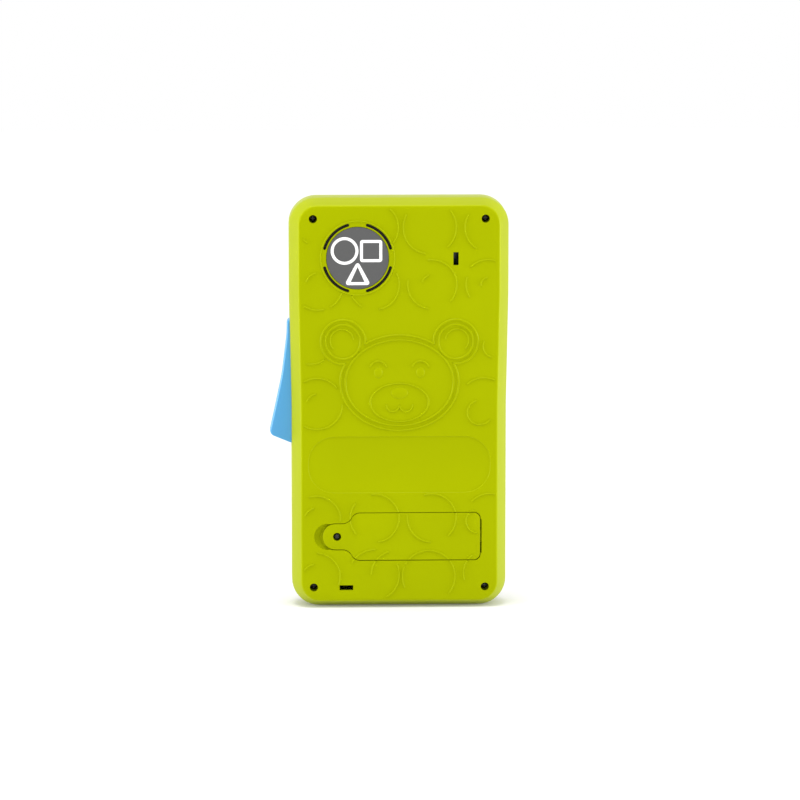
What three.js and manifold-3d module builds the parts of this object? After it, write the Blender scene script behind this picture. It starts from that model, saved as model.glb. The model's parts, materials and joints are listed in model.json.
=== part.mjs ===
// A child's toy tablet: a two-part lime case with a squeeze lever on its left side, a screwed
// battery door and a speaker grille in its back, and a screen with nine keys in its front.
// Millimetres. The tablet stands upright on its bottom edge: +Z is up, the back faces -Y, the
// screen faces +Y, and the origin is the middle of the flat strip that it stands on.
import * as THREE from 'three';
import { mergeVertices } from 'three/addons/utils/BufferGeometryUtils.js';
import { ParametricGeometry } from 'three/addons/geometries/ParametricGeometry.js';
import Module from 'manifold-3d';

// Case
const HEIGHT = 205.3;
const HALF_WIDTH_LOW = 53.6; // up to TAPER_FROM
const HALF_WIDTH_HIGH = 54.65; // from TAPER_TO up
const TAPER_FROM = 102.5;
const TAPER_TO = 157.5;
const CORNER_R = 13.7;
const BACK = -13;
const FRONT = 13;
const WALL = 2;
const CHAMFER_START = -5; // where the back chamfer leaves the side wall
const CHAMFER_X = 4.8;
const CHAMFER_Z = 3.6;
const FRONT_ROUND = 5;
const PARTING = -3; // the plane where the two shells meet
const GAP = 0.3; // between pieces that touch
const FLOOR = BACK + WALL; // inner surface of the back wall

// Case screws, in deep narrow holes
const CASE_SCREWS = [
  { name: 'case_screw_bottom_left', x: -42.75, z: 10.4 },
  { name: 'case_screw_bottom_right', x: 42.75, z: 10.4 },
  { name: 'case_screw_top_left', x: -42.75, z: 195.2 },
  { name: 'case_screw_top_right', x: 42.75, z: 195.2 },
];
const SCREW_HOLE_R = 2.05;
const SCREW_SHOULDER = -6.5; // the shoulder that the head is pulled onto
const SCREW_BOSS_R = 4.2;

// Speaker, its grille of four arc slots and the round badge inside them
const SPEAKER = { x: -20.7, z: 175.8 };
const BADGE_R = 15.35;
const ARC_SLOT_R = 17;
const ARC_SLOT_WIDTH = 1.5;
const ARC_SLOT_HALF_ANGLE = THREE.MathUtils.degToRad(28.5);
const SPEAKER_R = 19.6;
const RETAINER_REACH = 24;

// Small latch slots through the back, and the smooth recess for a label
const LATCH_SLOTS = [
  { x: 28.05, z: 175.3, width: 2.6, height: 6.5 },
  { x: -26.5, z: 10.2, width: 6.8, height: 2.5 },
];
const LABEL = { halfWidth: 45.4, low: 58.1, high: 86.5, r: 13, depth: 0.4 };

// Raised outline of a plain teddy bear's head
const HEAD = { x: 0, z: 114, rx: 30, rz: 25 };
const EAR = { x: 28, z: 134, r: 12 };
const RELIEF_RIDGE = 1.4;
const RELIEF_HEIGHT = 0.5;

// Battery door and the two AAA cells behind it
const DOOR_MID_Z = 36;
const DOOR_HALF_HEIGHT = 11.9;
const DOOR_RIGHT = 40.3;
const DOOR_CORNER_R = 3.2;
const DOOR_THICKNESS = 1.6;
const DOOR_SCREW = { x: -31.1, z: DOOR_MID_Z };
const LOBE_R = 6.5;
const DOOR_PIVOT_X = 39.6;
const TAB_OFFSETS = [-6.5, 6.5];
const TAB_WIDTH = 6;
const BAY = { left: -16.5, right: 36.5, halfHeight: 11, front: -0.1, wall: 1.5 };
const CELL_R = 5.1;
const CELL_LENGTH = 43;
const CELL_NUB = 1;
const CELL_OFFSET = 5.5;
const CELL_Y = -5.5;
const CELL_MID_X = (BAY.left + BAY.right) / 2;

// Squeeze lever on the left side
const LEVER = { back: -4, front: 7, top: 144.3, bottom: 82.2, skin: 1.8 };
const PIVOT = { x: -49, z: 141 };
const PIVOT_BOSS_R = 3;
const PIN_R = 1.2;
const RUNNING_GAP = 0.08;
const LEVER_SPRING = { x0: -56.3, x1: -43.9, y: 1.5, z: 93, r: 2.4, wire: 0.35, turns: 6 };
const LEVER_SWITCH_Z = 106;
const LEVER_BOARD_X = -42.2;

// Front: face plate, screen and keys
const PLATE = { halfWidth: 45.5, low: 10.5, high: 196.5, r: 8, back: 11, front: 12.6 };
const LEDGE = { halfWidth: 42, low: 13.5, high: 195, r: 6, back: 9 };
const WINDOW = { halfWidth: 34, low: 134, high: 191, r: 4 };
const LENS = { halfWidth: 37, low: 131, high: 194, r: 3 };
const KEY_COLUMNS = [-27, 0, 27];
const KEY_ROWS = [112, 86, 60];
const KEY_WIDTH = 23;
const KEY_HEIGHT = 21;
const KEY_R = 4;
const KEY_TOP = 14.2;
const KEY_FLANGE = 1;
const KEY_BACK = 9.4;
const KEY_FLANGE_FRONT = 10.6;
const HOME = { x: 0, z: 30, r: 9 };
const SLIDER = { x: 26.5, z: 30, travel: 7 };

// Main board and what stands on it
const BOARD = { halfWidth: 40, low: 16, high: 193, back: 3.6, front: 5.2, r: 2 };
const POSTS = [
  { name: 'board_screw_bottom_left', x: -33, z: 20.5 },
  { name: 'board_screw_bottom_right', x: 33, z: 20.5 },
  { name: 'board_screw_top_left', x: -35.5, z: 127.5 },
  { name: 'board_screw_top_right', x: 35.5, z: 127.5 },
];
const POST_R = 2.6;
const WIRE_R = 0.55;

const FINISHES = {
  lime: { color: '#b4bf0b', roughness: 0.42 },
  blue: { color: '#61addb', roughness: 0.35 },
  grey: { color: '#6a6a6a', roughness: 0.5 },
  white: { color: '#f2f2ee', roughness: 0.4 },
  clear: { color: '#dfe9ee', roughness: 0.1 },
  card: { color: '#bfe3f2', roughness: 0.7 },
  rubber: { color: '#d8d8d4', roughness: 0.8 },
  steel: { color: '#8f9297', roughness: 0.35, metalness: 1 },
  board: { color: '#2f7d46', roughness: 0.5 },
  black: { color: '#1c1c1e', roughness: 0.5 },
  paper: { color: '#3a342e', roughness: 0.9 },
  cell: { color: '#2d3b55', roughness: 0.4 },
  red: { color: '#d8433b', roughness: 0.4 },
  orange: { color: '#f08a2c', roughness: 0.4 },
  yellow: { color: '#f5cf3a', roughness: 0.4 },
  green: { color: '#58b947', roughness: 0.4 },
  purple: { color: '#8a63b8', roughness: 0.4 },
};
const KEY_FINISHES = [
  'red', 'yellow', 'blue',
  'green', 'purple', 'orange',
  'blue', 'red', 'green',
];

const wasm = await Module();
wasm.setup();
const tablet = new THREE.Group();

// ---- Solids ----

// A closed three.js geometry as a solid that can be joined and cut.
function solid(geometry) {
  const bare = geometry.index ? geometry.toNonIndexed() : geometry.clone();
  bare.deleteAttribute('normal');
  bare.deleteAttribute('uv');
  const merged = mergeVertices(bare, 1e-4);
  return new wasm.Manifold(new wasm.Mesh({
    numProp: 3,
    vertProperties: merged.attributes.position.array,
    triVerts: new Uint32Array(merged.index.array),
  }));
}

// A named mesh of the tablet, made from a solid.
function piece(name, shape, finish) {
  const mesh = shape.getMesh();
  const geometry = new THREE.BufferGeometry();
  geometry.setAttribute('position', new THREE.BufferAttribute(mesh.vertProperties, 3));
  geometry.setIndex(new THREE.BufferAttribute(mesh.triVerts, 1));
  geometry.computeVertexNormals();
  const made = new THREE.Mesh(geometry, new THREE.MeshStandardMaterial(FINISHES[finish]));
  made.name = name;
  tablet.add(made);
}

function join(...shapes) {
  return shapes.reduce((all, shape) => all.add(shape));
}

function cut(body, ...tools) {
  return tools.reduce((left, tool) => left.subtract(tool), body);
}

// A block between two corners.
function block(x0, x1, y0, y1, z0, z1) {
  const box = new THREE.BoxGeometry(x1 - x0, y1 - y0, z1 - z0);
  return solid(box.translate((x0 + x1) / 2, (y0 + y1) / 2, (z0 + z1) / 2));
}

// A round bar along Y, at x and z.
function rod(x, z, r, y0, y1, sides = 16) {
  const bar = new THREE.CylinderGeometry(r, r, y1 - y0, sides);
  return solid(bar.translate(x, (y0 + y1) / 2, z));
}

// A round bar along X, at y and z.
function barX(y, z, r, x0, x1, sides = 16) {
  const bar = new THREE.CylinderGeometry(r, r, x1 - x0, sides).rotateZ(Math.PI / 2);
  return solid(bar.translate((x0 + x1) / 2, y, z));
}

function ring(x, z, outer, inner, y0, y1, sides = 24) {
  return cut(rod(x, z, outer, y0, y1, sides), rod(x, z, inner, y0 - 1, y1 + 1, sides));
}

// A flat outline drawn in X and Z, extruded along Y.
function prism(outline, y0, y1, curveSegments = 2) {
  const slab = new THREE.ExtrudeGeometry(outline, {
    depth: y1 - y0,
    bevelEnabled: false,
    curveSegments,
  });
  return solid(slab.rotateX(Math.PI / 2).translate(0, y1, 0));
}

// A profile of [radius, y] points turned about an axis along Y.
function turned(x, z, profile, sides = 24) {
  const points = profile.map(([r, y]) => new THREE.Vector2(r, y));
  return solid(new THREE.LatheGeometry(points, sides).translate(x, 0, z));
}

function roundedRectangle(x0, x1, z0, z1, r) {
  const outline = new THREE.Shape();
  outline.absarc(x1 - r, z0 + r, r, -Math.PI / 2, 0);
  outline.absarc(x1 - r, z1 - r, r, 0, Math.PI / 2);
  outline.absarc(x0 + r, z1 - r, r, Math.PI / 2, Math.PI);
  outline.absarc(x0 + r, z0 + r, r, Math.PI, Math.PI * 1.5);
  outline.closePath();
  return outline;
}

// A rounded rectangle centred on X = 0, grown on every side.
function panel(size, grow, y0, y1) {
  const { halfWidth, low, high, r } = size;
  const outline = roundedRectangle(
    -halfWidth - grow, halfWidth + grow, low - grow, high + grow, r + grow,
  );
  return prism(outline, y0, y1);
}

function ellipse(x, z, rx, rz) {
  const outline = new THREE.Shape();
  outline.absellipse(x, z, rx, rz, 0, Math.PI * 2);
  return outline;
}

// A bent round bar through points.
function tube(curve, r, steps, sides = 8) {
  const section = new THREE.Shape();
  section.absarc(0, 0, r, 0, Math.PI * 2);
  return solid(new THREE.ExtrudeGeometry(section, {
    steps,
    extrudePath: curve,
    curveSegments: sides / 2,
  }));
}

// A coil along X whose radius may change from one end to the other.
class CoilCurve extends THREE.Curve {
  constructor({ x0, x1, y, z, r, endR = r, turns }) {
    super();
    Object.assign(this, { x0, x1, y, z, r, endR, turns });
  }

  getPoint(t, target = new THREE.Vector3()) {
    const angle = t * this.turns * Math.PI * 2;
    const r = THREE.MathUtils.lerp(this.r, this.endR, t);
    const x = THREE.MathUtils.lerp(this.x0, this.x1, t);
    return target.set(x, this.y + r * Math.cos(angle), this.z + r * Math.sin(angle));
  }
}

function coil(size) {
  return tube(new CoilCurve(size), size.wire, Math.round(size.turns * 8), 6);
}

// ---- Case outline ----

const ARC_STEPS = 5;

// The case outline in X and Z, moved in by insetX and insetZ, always with the same point count.
function caseOutline(insetX, insetZ) {
  const rx = CORNER_R - insetX;
  const rz = CORNER_R - insetZ;
  const corners = [
    [HALF_WIDTH_LOW - CORNER_R, CORNER_R, -90],
    [HALF_WIDTH_HIGH - CORNER_R, HEIGHT - CORNER_R, 0],
    [CORNER_R - HALF_WIDTH_HIGH, HEIGHT - CORNER_R, 90],
    [CORNER_R - HALF_WIDTH_LOW, CORNER_R, 180],
  ];
  const tapers = {
    0: [[HALF_WIDTH_LOW - insetX, TAPER_FROM], [HALF_WIDTH_HIGH - insetX, TAPER_TO]],
    2: [[insetX - HALF_WIDTH_HIGH, TAPER_TO], [insetX - HALF_WIDTH_LOW, TAPER_FROM]],
  };
  return corners.flatMap(([x, z, start], corner) => {
    const arc = Array.from({ length: ARC_STEPS + 1 }, (_, step) => {
      const angle = THREE.MathUtils.degToRad(start + (90 * step) / ARC_STEPS);
      return [x + rx * Math.cos(angle), z + rz * Math.sin(angle)];
    });
    return arc.concat(tapers[corner] ?? []);
  });
}

// A closed body through case outlines at increasing y, each with its own inset.
function caseSlab(levels) {
  const rings = levels.map(({ insetX, insetZ }) => caseOutline(insetX, insetZ));
  const count = rings[0].length;
  const surface = (u, v, target) => {
    const level = Math.round(v * (levels.length + 1)) - 1;
    if (level < 0 || level >= levels.length) {
      const end = level < 0 ? levels[0] : levels[levels.length - 1];
      target.set(0, end.y, HEIGHT / 2);
      return;
    }
    const [x, z] = rings[level][(count - Math.round(u * count)) % count];
    target.set(x, levels[level].y, z);
  };
  return solid(new ParametricGeometry(surface, count, levels.length + 1));
}

function level(y, insetX, insetZ = insetX) {
  return { y, insetX, insetZ };
}

// The outer body of the back half: flat back, chamfer, side wall.
function backBody() {
  return caseSlab([
    level(BACK, CHAMFER_X, CHAMFER_Z),
    level(CHAMFER_START, 0),
    level(PARTING - GAP / 2, 0),
  ]);
}

// The hollow of the back half, open at the parting plane.
function backHollow() {
  return caseSlab([
    level(FLOOR, CHAMFER_X + WALL * 0.7, CHAMFER_Z + WALL * 0.7),
    level(CHAMFER_START + 0.4, WALL),
    level(PARTING + 1, WALL),
  ]);
}

// The outer body of the front half: side wall, quarter-round edge, flat front.
function frontBody() {
  const start = FRONT - FRONT_ROUND;
  const rounding = [0, 22.5, 45, 67.5, 90].map((degrees) => {
    const angle = THREE.MathUtils.degToRad(degrees);
    const inset = FRONT_ROUND * (1 - Math.cos(angle));
    return level(start + FRONT_ROUND * Math.sin(angle), inset);
  });
  return caseSlab([level(PARTING + GAP / 2, 0), ...rounding]);
}

function frontHollow() {
  return caseSlab([
    level(PARTING - 1, WALL),
    level(LEDGE.back - 1.2, WALL),
    level(LEDGE.back, WALL + 2.5),
  ]);
}

// ---- Outlines on the back ----

// The door: a round lobe over its screw, a short neck, and a wide panel over the cells.
function doorOutline(grow) {
  const neck = LOBE_R + grow;
  const half = DOOR_HALF_HEIGHT + grow;
  const lobeX = DOOR_SCREW.x - 0.6;
  const neckX = DOOR_SCREW.x + 3.5;
  const wideX = DOOR_SCREW.x + 10.8;
  const bendX = (neckX + wideX) / 2;
  const right = DOOR_RIGHT + grow;
  const r = DOOR_CORNER_R;
  const mid = DOOR_MID_Z;
  const outline = new THREE.Shape();
  outline.absarc(lobeX, mid, neck, Math.PI / 2, Math.PI * 1.5);
  outline.lineTo(neckX, mid - neck);
  outline.bezierCurveTo(bendX, mid - neck, bendX, mid - half, wideX, mid - half);
  outline.absarc(right - r, mid - half + r, r, -Math.PI / 2, 0);
  outline.absarc(right - r, mid + half - r, r, 0, Math.PI / 2);
  outline.lineTo(wideX, mid + half);
  outline.bezierCurveTo(bendX, mid + half, bendX, mid + neck, neckX, mid + neck);
  outline.closePath();
  return outline;
}

// A slot bent round the speaker, with round ends.
function arcSlot(middleAngle) {
  const half = ARC_SLOT_WIDTH / 2;
  const from = middleAngle - ARC_SLOT_HALF_ANGLE;
  const to = middleAngle + ARC_SLOT_HALF_ANGLE;
  const endAt = (angle) => [
    SPEAKER.x + ARC_SLOT_R * Math.cos(angle),
    SPEAKER.z + ARC_SLOT_R * Math.sin(angle),
  ];
  const outline = new THREE.Shape();
  outline.absarc(SPEAKER.x, SPEAKER.z, ARC_SLOT_R + half, from, to);
  outline.absarc(...endAt(to), half, to, to + Math.PI);
  outline.absarc(SPEAKER.x, SPEAKER.z, ARC_SLOT_R - half, to, from, true);
  outline.absarc(...endAt(from), half, from + Math.PI, from + Math.PI * 2);
  return outline;
}

// The head and ears of the bear, moved in by inset.
function bearHead(inset) {
  const y0 = BACK - RELIEF_HEIGHT - inset;
  const y1 = BACK + 0.1 + inset;
  const head = prism(ellipse(HEAD.x, HEAD.z, HEAD.rx - inset, HEAD.rz - inset), y0, y1, 18);
  const ears = [-EAR.x, EAR.x].map((x) => rod(x, EAR.z, EAR.r - inset, y0, y1, 24));
  return join(head, ...ears);
}

// The opening that the lever swings through, in both shells.
function leverOpening() {
  const clearance = 0.4;
  return block(
    -70, PIVOT.x - 1.5,
    LEVER.back - clearance, LEVER.front + clearance,
    LEVER.bottom - 0.7, LEVER.top + 0.5,
  );
}

// ---- Shells ----

function backShell() {
  const bosses = CASE_SCREWS.map(({ x, z }) => {
    return rod(x, z, SCREW_BOSS_R, FLOOR - 0.5, PARTING - GAP / 2);
  });
  const doorSeat = prism(doorOutline(1.5), FLOOR - 0.2, FLOOR + 1.4);
  const bay = block(
    BAY.left - BAY.wall, BAY.right + BAY.wall,
    FLOOR - 0.2, BAY.front + BAY.wall,
    DOOR_MID_Z - BAY.halfHeight - BAY.wall, DOOR_MID_Z + BAY.halfHeight + BAY.wall,
  );
  const doorScrewBoss = rod(DOOR_SCREW.x, DOOR_SCREW.z, 5, FLOOR, -3.4);
  const speakerSeat = ring(SPEAKER.x, SPEAKER.z, SPEAKER_R + 1.8, SPEAKER_R + GAP, FLOOR - 0.2, -8);
  const retainerBosses = [-RETAINER_REACH, RETAINER_REACH].map((dx) => {
    return rod(SPEAKER.x + dx, SPEAKER.z, 3, FLOOR - 0.2, -4.9);
  });
  const pivotBoss = rod(PIVOT.x, PIVOT.z, PIVOT_BOSS_R, -8.4, LEVER.back - 0.5);
  const pivotWeb = block(PIVOT.x - 1, PIVOT.x + 3, FLOOR - 0.2, -8, PIVOT.z - 1.5, PIVOT.z + 1.5);
  const springPost = block(
    LEVER_SPRING.x1 + 0.4, LEVER_SPRING.x1 + 2,
    FLOOR - 0.2, 5,
    LEVER_SPRING.z - 4.5, LEVER_SPRING.z + 3.5,
  );
  const boardRails = [-7.5, 7.5].flatMap((dz) => [-1.8, 1.5].map((dx) => block(
    LEVER_BOARD_X + dx, LEVER_BOARD_X + dx + 1.5,
    FLOOR - 0.2, -1,
    LEVER_SWITCH_Z + dz - 1.5, LEVER_SWITCH_Z + dz + 1.5,
  )));
  const ribs = [
    block(-20, 20, FLOOR - 0.2, -8, 94, 95.2),
    block(-20, 20, FLOOR - 0.2, -8, 134, 135.2),
  ];
  const relief = cut(bearHead(0), bearHead(RELIEF_RIDGE));

  const screwHoles = CASE_SCREWS.flatMap(({ x, z }) => [
    rod(x, z, SCREW_HOLE_R, BACK - 1, SCREW_SHOULDER),
    rod(x, z, 1.3, SCREW_SHOULDER - 0.1, 0),
  ]);
  const doorRecess = prism(doorOutline(GAP), BACK - 1, FLOOR - 0.1);
  const hingeRelief = block(DOOR_RIGHT, DOOR_RIGHT + 0.5, BACK - 1, FLOOR, 27.5, 44.5);
  const cells = block(
    BAY.left, BAY.right, BACK - 1, BAY.front,
    DOOR_MID_Z - BAY.halfHeight, DOOR_MID_Z + BAY.halfHeight,
  );
  const tabSlots = TAB_OFFSETS.map((dz) => block(
    BAY.right - 0.5, DOOR_RIGHT + 3, FLOOR - 0.15, -7.5,
    DOOR_MID_Z + dz - TAB_WIDTH / 2 - 0.4, DOOR_MID_Z + dz + TAB_WIDTH / 2 + 0.4,
  ));
  const leadSlots = [-CELL_OFFSET, CELL_OFFSET].map((dz) => block(
    BAY.left - 0.5, BAY.left + 1.2, BAY.front - 0.5, BAY.front + BAY.wall + 0.5,
    DOOR_MID_Z + dz - 2, DOOR_MID_Z + dz + 2,
  ));
  const screwWell = [
    rod(DOOR_SCREW.x, DOOR_SCREW.z, 3.7, BACK, -8.6),
    rod(DOOR_SCREW.x, DOOR_SCREW.z, 1.7, -9, -3),
  ];
  const scoop = turned(DOOR_SCREW.x - 5.4, DOOR_SCREW.z, [
    [0, BACK - 1], [7, BACK - 1], [6, BACK], [3.5, BACK + 1.1], [0, BACK + 1.5],
  ]);
  const badgeSeat = rod(SPEAKER.x, SPEAKER.z, BADGE_R + GAP, BACK - 1, -12.3, 36);
  const slots = [45, 135, 225, 315].map((degrees) => {
    return prism(arcSlot(THREE.MathUtils.degToRad(degrees)), BACK - 1, FLOOR + 0.5, 3);
  });
  const latchSlots = LATCH_SLOTS.map(({ x, z, width, height }) => block(
    x - width / 2, x + width / 2, BACK - 1, FLOOR + 1, z - height / 2, z + height / 2,
  ));
  const retainerPilots = [-RETAINER_REACH, RETAINER_REACH].map((dx) => {
    return rod(SPEAKER.x + dx, SPEAKER.z, 1.15, -9.5, -4);
  });
  const wireNotch = block(SPEAKER.x + 4, SPEAKER.x + 10, -10, -7, SPEAKER.z - 24, SPEAKER.z - 17);

  const skin = cut(backBody(), backHollow());
  const fitted = join(
    skin, ...bosses, doorSeat, bay, doorScrewBoss, speakerSeat, ...retainerBosses,
    pivotBoss, pivotWeb, springPost, ...boardRails, ...ribs, relief,
  );
  return cut(
    fitted, ...screwHoles, doorRecess, hingeRelief, cells, ...tabSlots, ...leadSlots,
    ...screwWell, scoop, badgeSeat, ...slots, ...latchSlots, ...retainerPilots,
    wireNotch, panel(LABEL, 0, BACK - 1, BACK + LABEL.depth), leverOpening(),
    rod(PIVOT.x, PIVOT.z, PIN_R + RUNNING_GAP, -7.6, 0),
  );
}

function frontShell() {
  const bosses = CASE_SCREWS.map(({ x, z }) => {
    return rod(x, z, SCREW_BOSS_R, PARTING + GAP / 2, LEDGE.back + 0.5);
  });
  const pivotBoss = rod(PIVOT.x, PIVOT.z, PIVOT_BOSS_R, LEVER.front + 0.5, LEDGE.back + 2);
  const pilots = CASE_SCREWS.map(({ x, z }) => rod(x, z, 1.15, PARTING - 1, 7));
  const fitted = join(cut(frontBody(), frontHollow()), ...bosses, pivotBoss);
  return cut(
    fitted, ...pilots, leverOpening(),
    panel(PLATE, GAP, PLATE.back - GAP, FRONT + 1),
    panel(LEDGE, 0, LEDGE.back - 1, FRONT + 1),
    rod(PIVOT.x, PIVOT.z, PIN_R + RUNNING_GAP, 6, 10),
  );
}

// ---- Fasteners ----

// A pan-head screw along Y: the head starts at headBack, the shank ends at tip.
function screw(x, z, { headBack, headFront, headR, shankR, tip, recess = 0.8 }) {
  const head = rod(x, z, headR, headBack, headFront);
  const shank = rod(x, z, shankR, headFront - 0.1, tip, 10);
  const cross = [
    block(x - headR * 0.6, x + headR * 0.6, headBack - 1, headBack + recess, z - 0.3, z + 0.3),
    block(x - 0.3, x + 0.3, headBack - 1, headBack + recess, z - headR * 0.6, z + headR * 0.6),
  ];
  return cut(join(head, shank), ...cross);
}

// ---- Battery door and bay ----

function batteryDoor() {
  const panelSlab = prism(doorOutline(0), BACK, BACK + DOOR_THICKNESS);
  const collar = rod(DOOR_SCREW.x, DOOR_SCREW.z, 3.3, BACK + 1, -9.2);
  const tabs = TAB_OFFSETS.flatMap((dz) => {
    const z0 = DOOR_MID_Z + dz - TAB_WIDTH / 2;
    const z1 = z0 + TAB_WIDTH;
    return [
      block(DOOR_PIVOT_X - 0.2, DOOR_RIGHT - 0.1, BACK + 1, -9.5, z0, z1),
      block(DOOR_PIVOT_X - 0.2, DOOR_RIGHT + 2.1, FLOOR + 0.4, -9.5, z0, z1),
    ];
  });
  return cut(
    join(panelSlab, collar, ...tabs),
    rod(DOOR_SCREW.x, DOOR_SCREW.z, SCREW_HOLE_R, BACK - 1, -10.6),
    rod(DOOR_SCREW.x, DOOR_SCREW.z, 1.3, -11, -9),
  );
}

// A cell along X whose positive end points along direction (1 or -1).
function cell(z, direction) {
  const half = CELL_LENGTH / 2;
  const nubEnd = CELL_MID_X + direction * (half + CELL_NUB);
  const can = barX(CELL_Y, z, CELL_R, CELL_MID_X - half, CELL_MID_X + half);
  const nub = barX(CELL_Y, z, 1.9, Math.min(CELL_MID_X, nubEnd), Math.max(CELL_MID_X, nubEnd), 16);
  return join(can, nub);
}

// A contact plate across X, with a spring for a flat end or a button for a nub.
function contactPlate(x, z0, z1, lead) {
  return block(x - 0.2, x + 0.2, CELL_Y - 4, lead, z0, z1);
}

function contactSpring(plateX, direction, z) {
  const reach = 3.4;
  return coil({
    x0: plateX,
    x1: plateX + direction * reach,
    y: CELL_Y,
    z,
    r: 3.2,
    endR: 1.8,
    wire: 0.35,
    turns: 2.5,
  });
}

function contactButton(plateX, direction, z) {
  const end = plateX + direction * 2.4;
  return barX(CELL_Y, z, 1.6, Math.min(plateX, end), Math.max(plateX, end), 16);
}

function batteryBay() {
  const low = DOOR_MID_Z - CELL_OFFSET;
  const high = DOOR_MID_Z + CELL_OFFSET;
  piece('battery_cell_lower', cell(low, 1), 'cell');
  piece('battery_cell_upper', cell(high, -1), 'cell');
  const left = BAY.left + 0.5;
  const right = BAY.right - 0.5;
  const lead = BAY.front + BAY.wall + 1.6;
  piece('contact_negative', join(
    contactPlate(left, low - 4, low + 4, CELL_Y + 4),
    block(left - 0.2, left + 0.2, CELL_Y, lead, low - 1.5, low + 1.5),
    contactSpring(left, 1, low),
  ), 'steel');
  piece('contact_positive', join(
    contactPlate(left, high - 4, high + 4, CELL_Y + 4),
    block(left - 0.2, left + 0.2, CELL_Y, lead, high - 1.5, high + 1.5),
    contactButton(left, 1, high),
  ), 'steel');
  piece('contact_pair', join(
    contactPlate(right, low - 4, high + 4, CELL_Y + 4),
    contactSpring(right, -1, high),
    contactButton(right, -1, low),
  ), 'steel');
}

// ---- Lever ----

// The lever's side view: its outer edge bows away from the case towards the lower end.
function leverOutline(inset) {
  const outline = new THREE.Shape();
  const inner = -50.8;
  outline.moveTo(inner, LEVER.top - inset);
  outline.lineTo(-54.2 + inset, LEVER.top - inset);
  outline.quadraticCurveTo(-55.6 + inset, LEVER.top - inset, -55.7 + inset, 142 - inset);
  outline.quadraticCurveTo(-56.6 + inset, 117, -64.2 + inset, 89.2);
  outline.quadraticCurveTo(-64.9 + inset, 84.6 + inset, -60.8 + inset, 84 + inset);
  outline.lineTo(-54, LEVER.bottom + inset);
  outline.lineTo(inner, LEVER.bottom + inset);
  outline.closePath();
  return outline;
}

function sideLever() {
  const { back, front, skin } = LEVER;
  const shell = prism(leverOutline(0), back, front, 5);
  const hollow = cut(
    prism(leverOutline(skin), back + skin, front - skin, 5),
    block(-60, -45, back, front, PIVOT.z - 5, LEVER.top + 1),
  );
  const mouth = block(-51.5, -50, back + skin, front - skin, LEVER.bottom + skin, PIVOT.z - 5);
  const seat = barX(LEVER_SPRING.y, LEVER_SPRING.z, 3.4, -61, LEVER_SPRING.x0 - 0.7);
  const striker = block(-57, -50.8, back, front, LEVER_SWITCH_Z - 1.5, LEVER_SWITCH_Z + 1.5);
  const lip = block(-51.3, -49.7, back, front, LEVER.bottom - 3.6, LEVER.bottom + 1);
  const boss = rod(PIVOT.x, PIVOT.z, PIVOT_BOSS_R, back, front);
  const arm = block(-51, PIVOT.x, back, front, PIVOT.z - PIVOT_BOSS_R, PIVOT.z + PIVOT_BOSS_R);
  return cut(
    join(cut(shell, hollow, mouth), seat, striker, lip, boss, arm),
    rod(PIVOT.x, PIVOT.z, PIN_R + RUNNING_GAP, back - 1, front + 1),
  );
}

// A push switch that faces the lever, on its own small board.
function leverSwitch() {
  const front = LEVER_BOARD_X - GAP;
  return join(
    block(front - 3, front, -1.5, 4.5, LEVER_SWITCH_Z - 3, LEVER_SWITCH_Z + 3),
    barX(1.5, LEVER_SWITCH_Z, 1.5, front - 3.6, front - 2.9, 16),
  );
}

// ---- Speaker ----

function speaker() {
  const { x, z } = SPEAKER;
  piece('speaker_badge', rod(x, z, BADGE_R, BACK - 0.1, -12.6, 36), 'grey');
  piece('speaker_gasket', ring(x, z, SPEAKER_R, 18, -10.7, -10.1), 'black');
  piece('speaker_basket', turned(x, z, [
    [19.6, -9.8], [19.6, -8.8], [17.6, -8.8], [9.5, -5], [3, -5],
    [3, -5.9], [9, -5.9], [17, -9.8], [19.6, -9.8],
  ]), 'steel');
  piece('speaker_cone', turned(x, z, [
    [0, -8.4], [5, -7.8], [8.4, -7.05], [16.4, -10.55], [16.4, -10.1],
    [8.6, -6.5], [5, -7.2], [0, -7.7],
  ]), 'paper');
  piece('speaker_magnet', rod(x, z, 8, -4.7, -1.2, 24), 'steel');
  const strap = cut(
    join(
      rod(x, z, 11, -4.6, -3.1, 24),
      block(x - RETAINER_REACH - 3.4, x + RETAINER_REACH + 3.4, -4.6, -3.1, z - 3.5, z + 3.5),
    ),
    rod(x, z, 8.3, -6, -2, 24),
    ...[-RETAINER_REACH, RETAINER_REACH].map((dx) => rod(x + dx, z, 1.3, -6, -2)),
  );
  piece('speaker_retainer', strap, 'black');
}

// ---- Front ----

function keyWindow(x, z, grow) {
  return roundedRectangle(
    x - KEY_WIDTH / 2 - grow, x + KEY_WIDTH / 2 + grow,
    z - KEY_HEIGHT / 2 - grow, z + KEY_HEIGHT / 2 + grow,
    KEY_R + grow,
  );
}

function keyPlaces() {
  return KEY_ROWS.flatMap((z) => KEY_COLUMNS.map((x) => ({ x, z })));
}

function facePlate() {
  const posts = POSTS.map(({ x, z }) => rod(x, z, POST_R, BOARD.front + GAP, PLATE.back + 0.2));
  const pilots = POSTS.map(({ x, z }) => rod(x, z, 1.25, BOARD.front, 10));
  const windows = keyPlaces().map(({ x, z }) => prism(keyWindow(x, z, GAP), 10, FRONT));
  const slot = block(
    SLIDER.x - 2.8, SLIDER.x + SLIDER.travel + 2.8, 10, FRONT, SLIDER.z - 2, SLIDER.z + 2,
  );
  return cut(
    join(panel(PLATE, 0, PLATE.back, PLATE.front), ...posts),
    ...pilots, ...windows, panel(WINDOW, 0, 10, FRONT), slot,
    rod(HOME.x, HOME.z, HOME.r + GAP, 10, FRONT, 24),
  );
}

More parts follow.
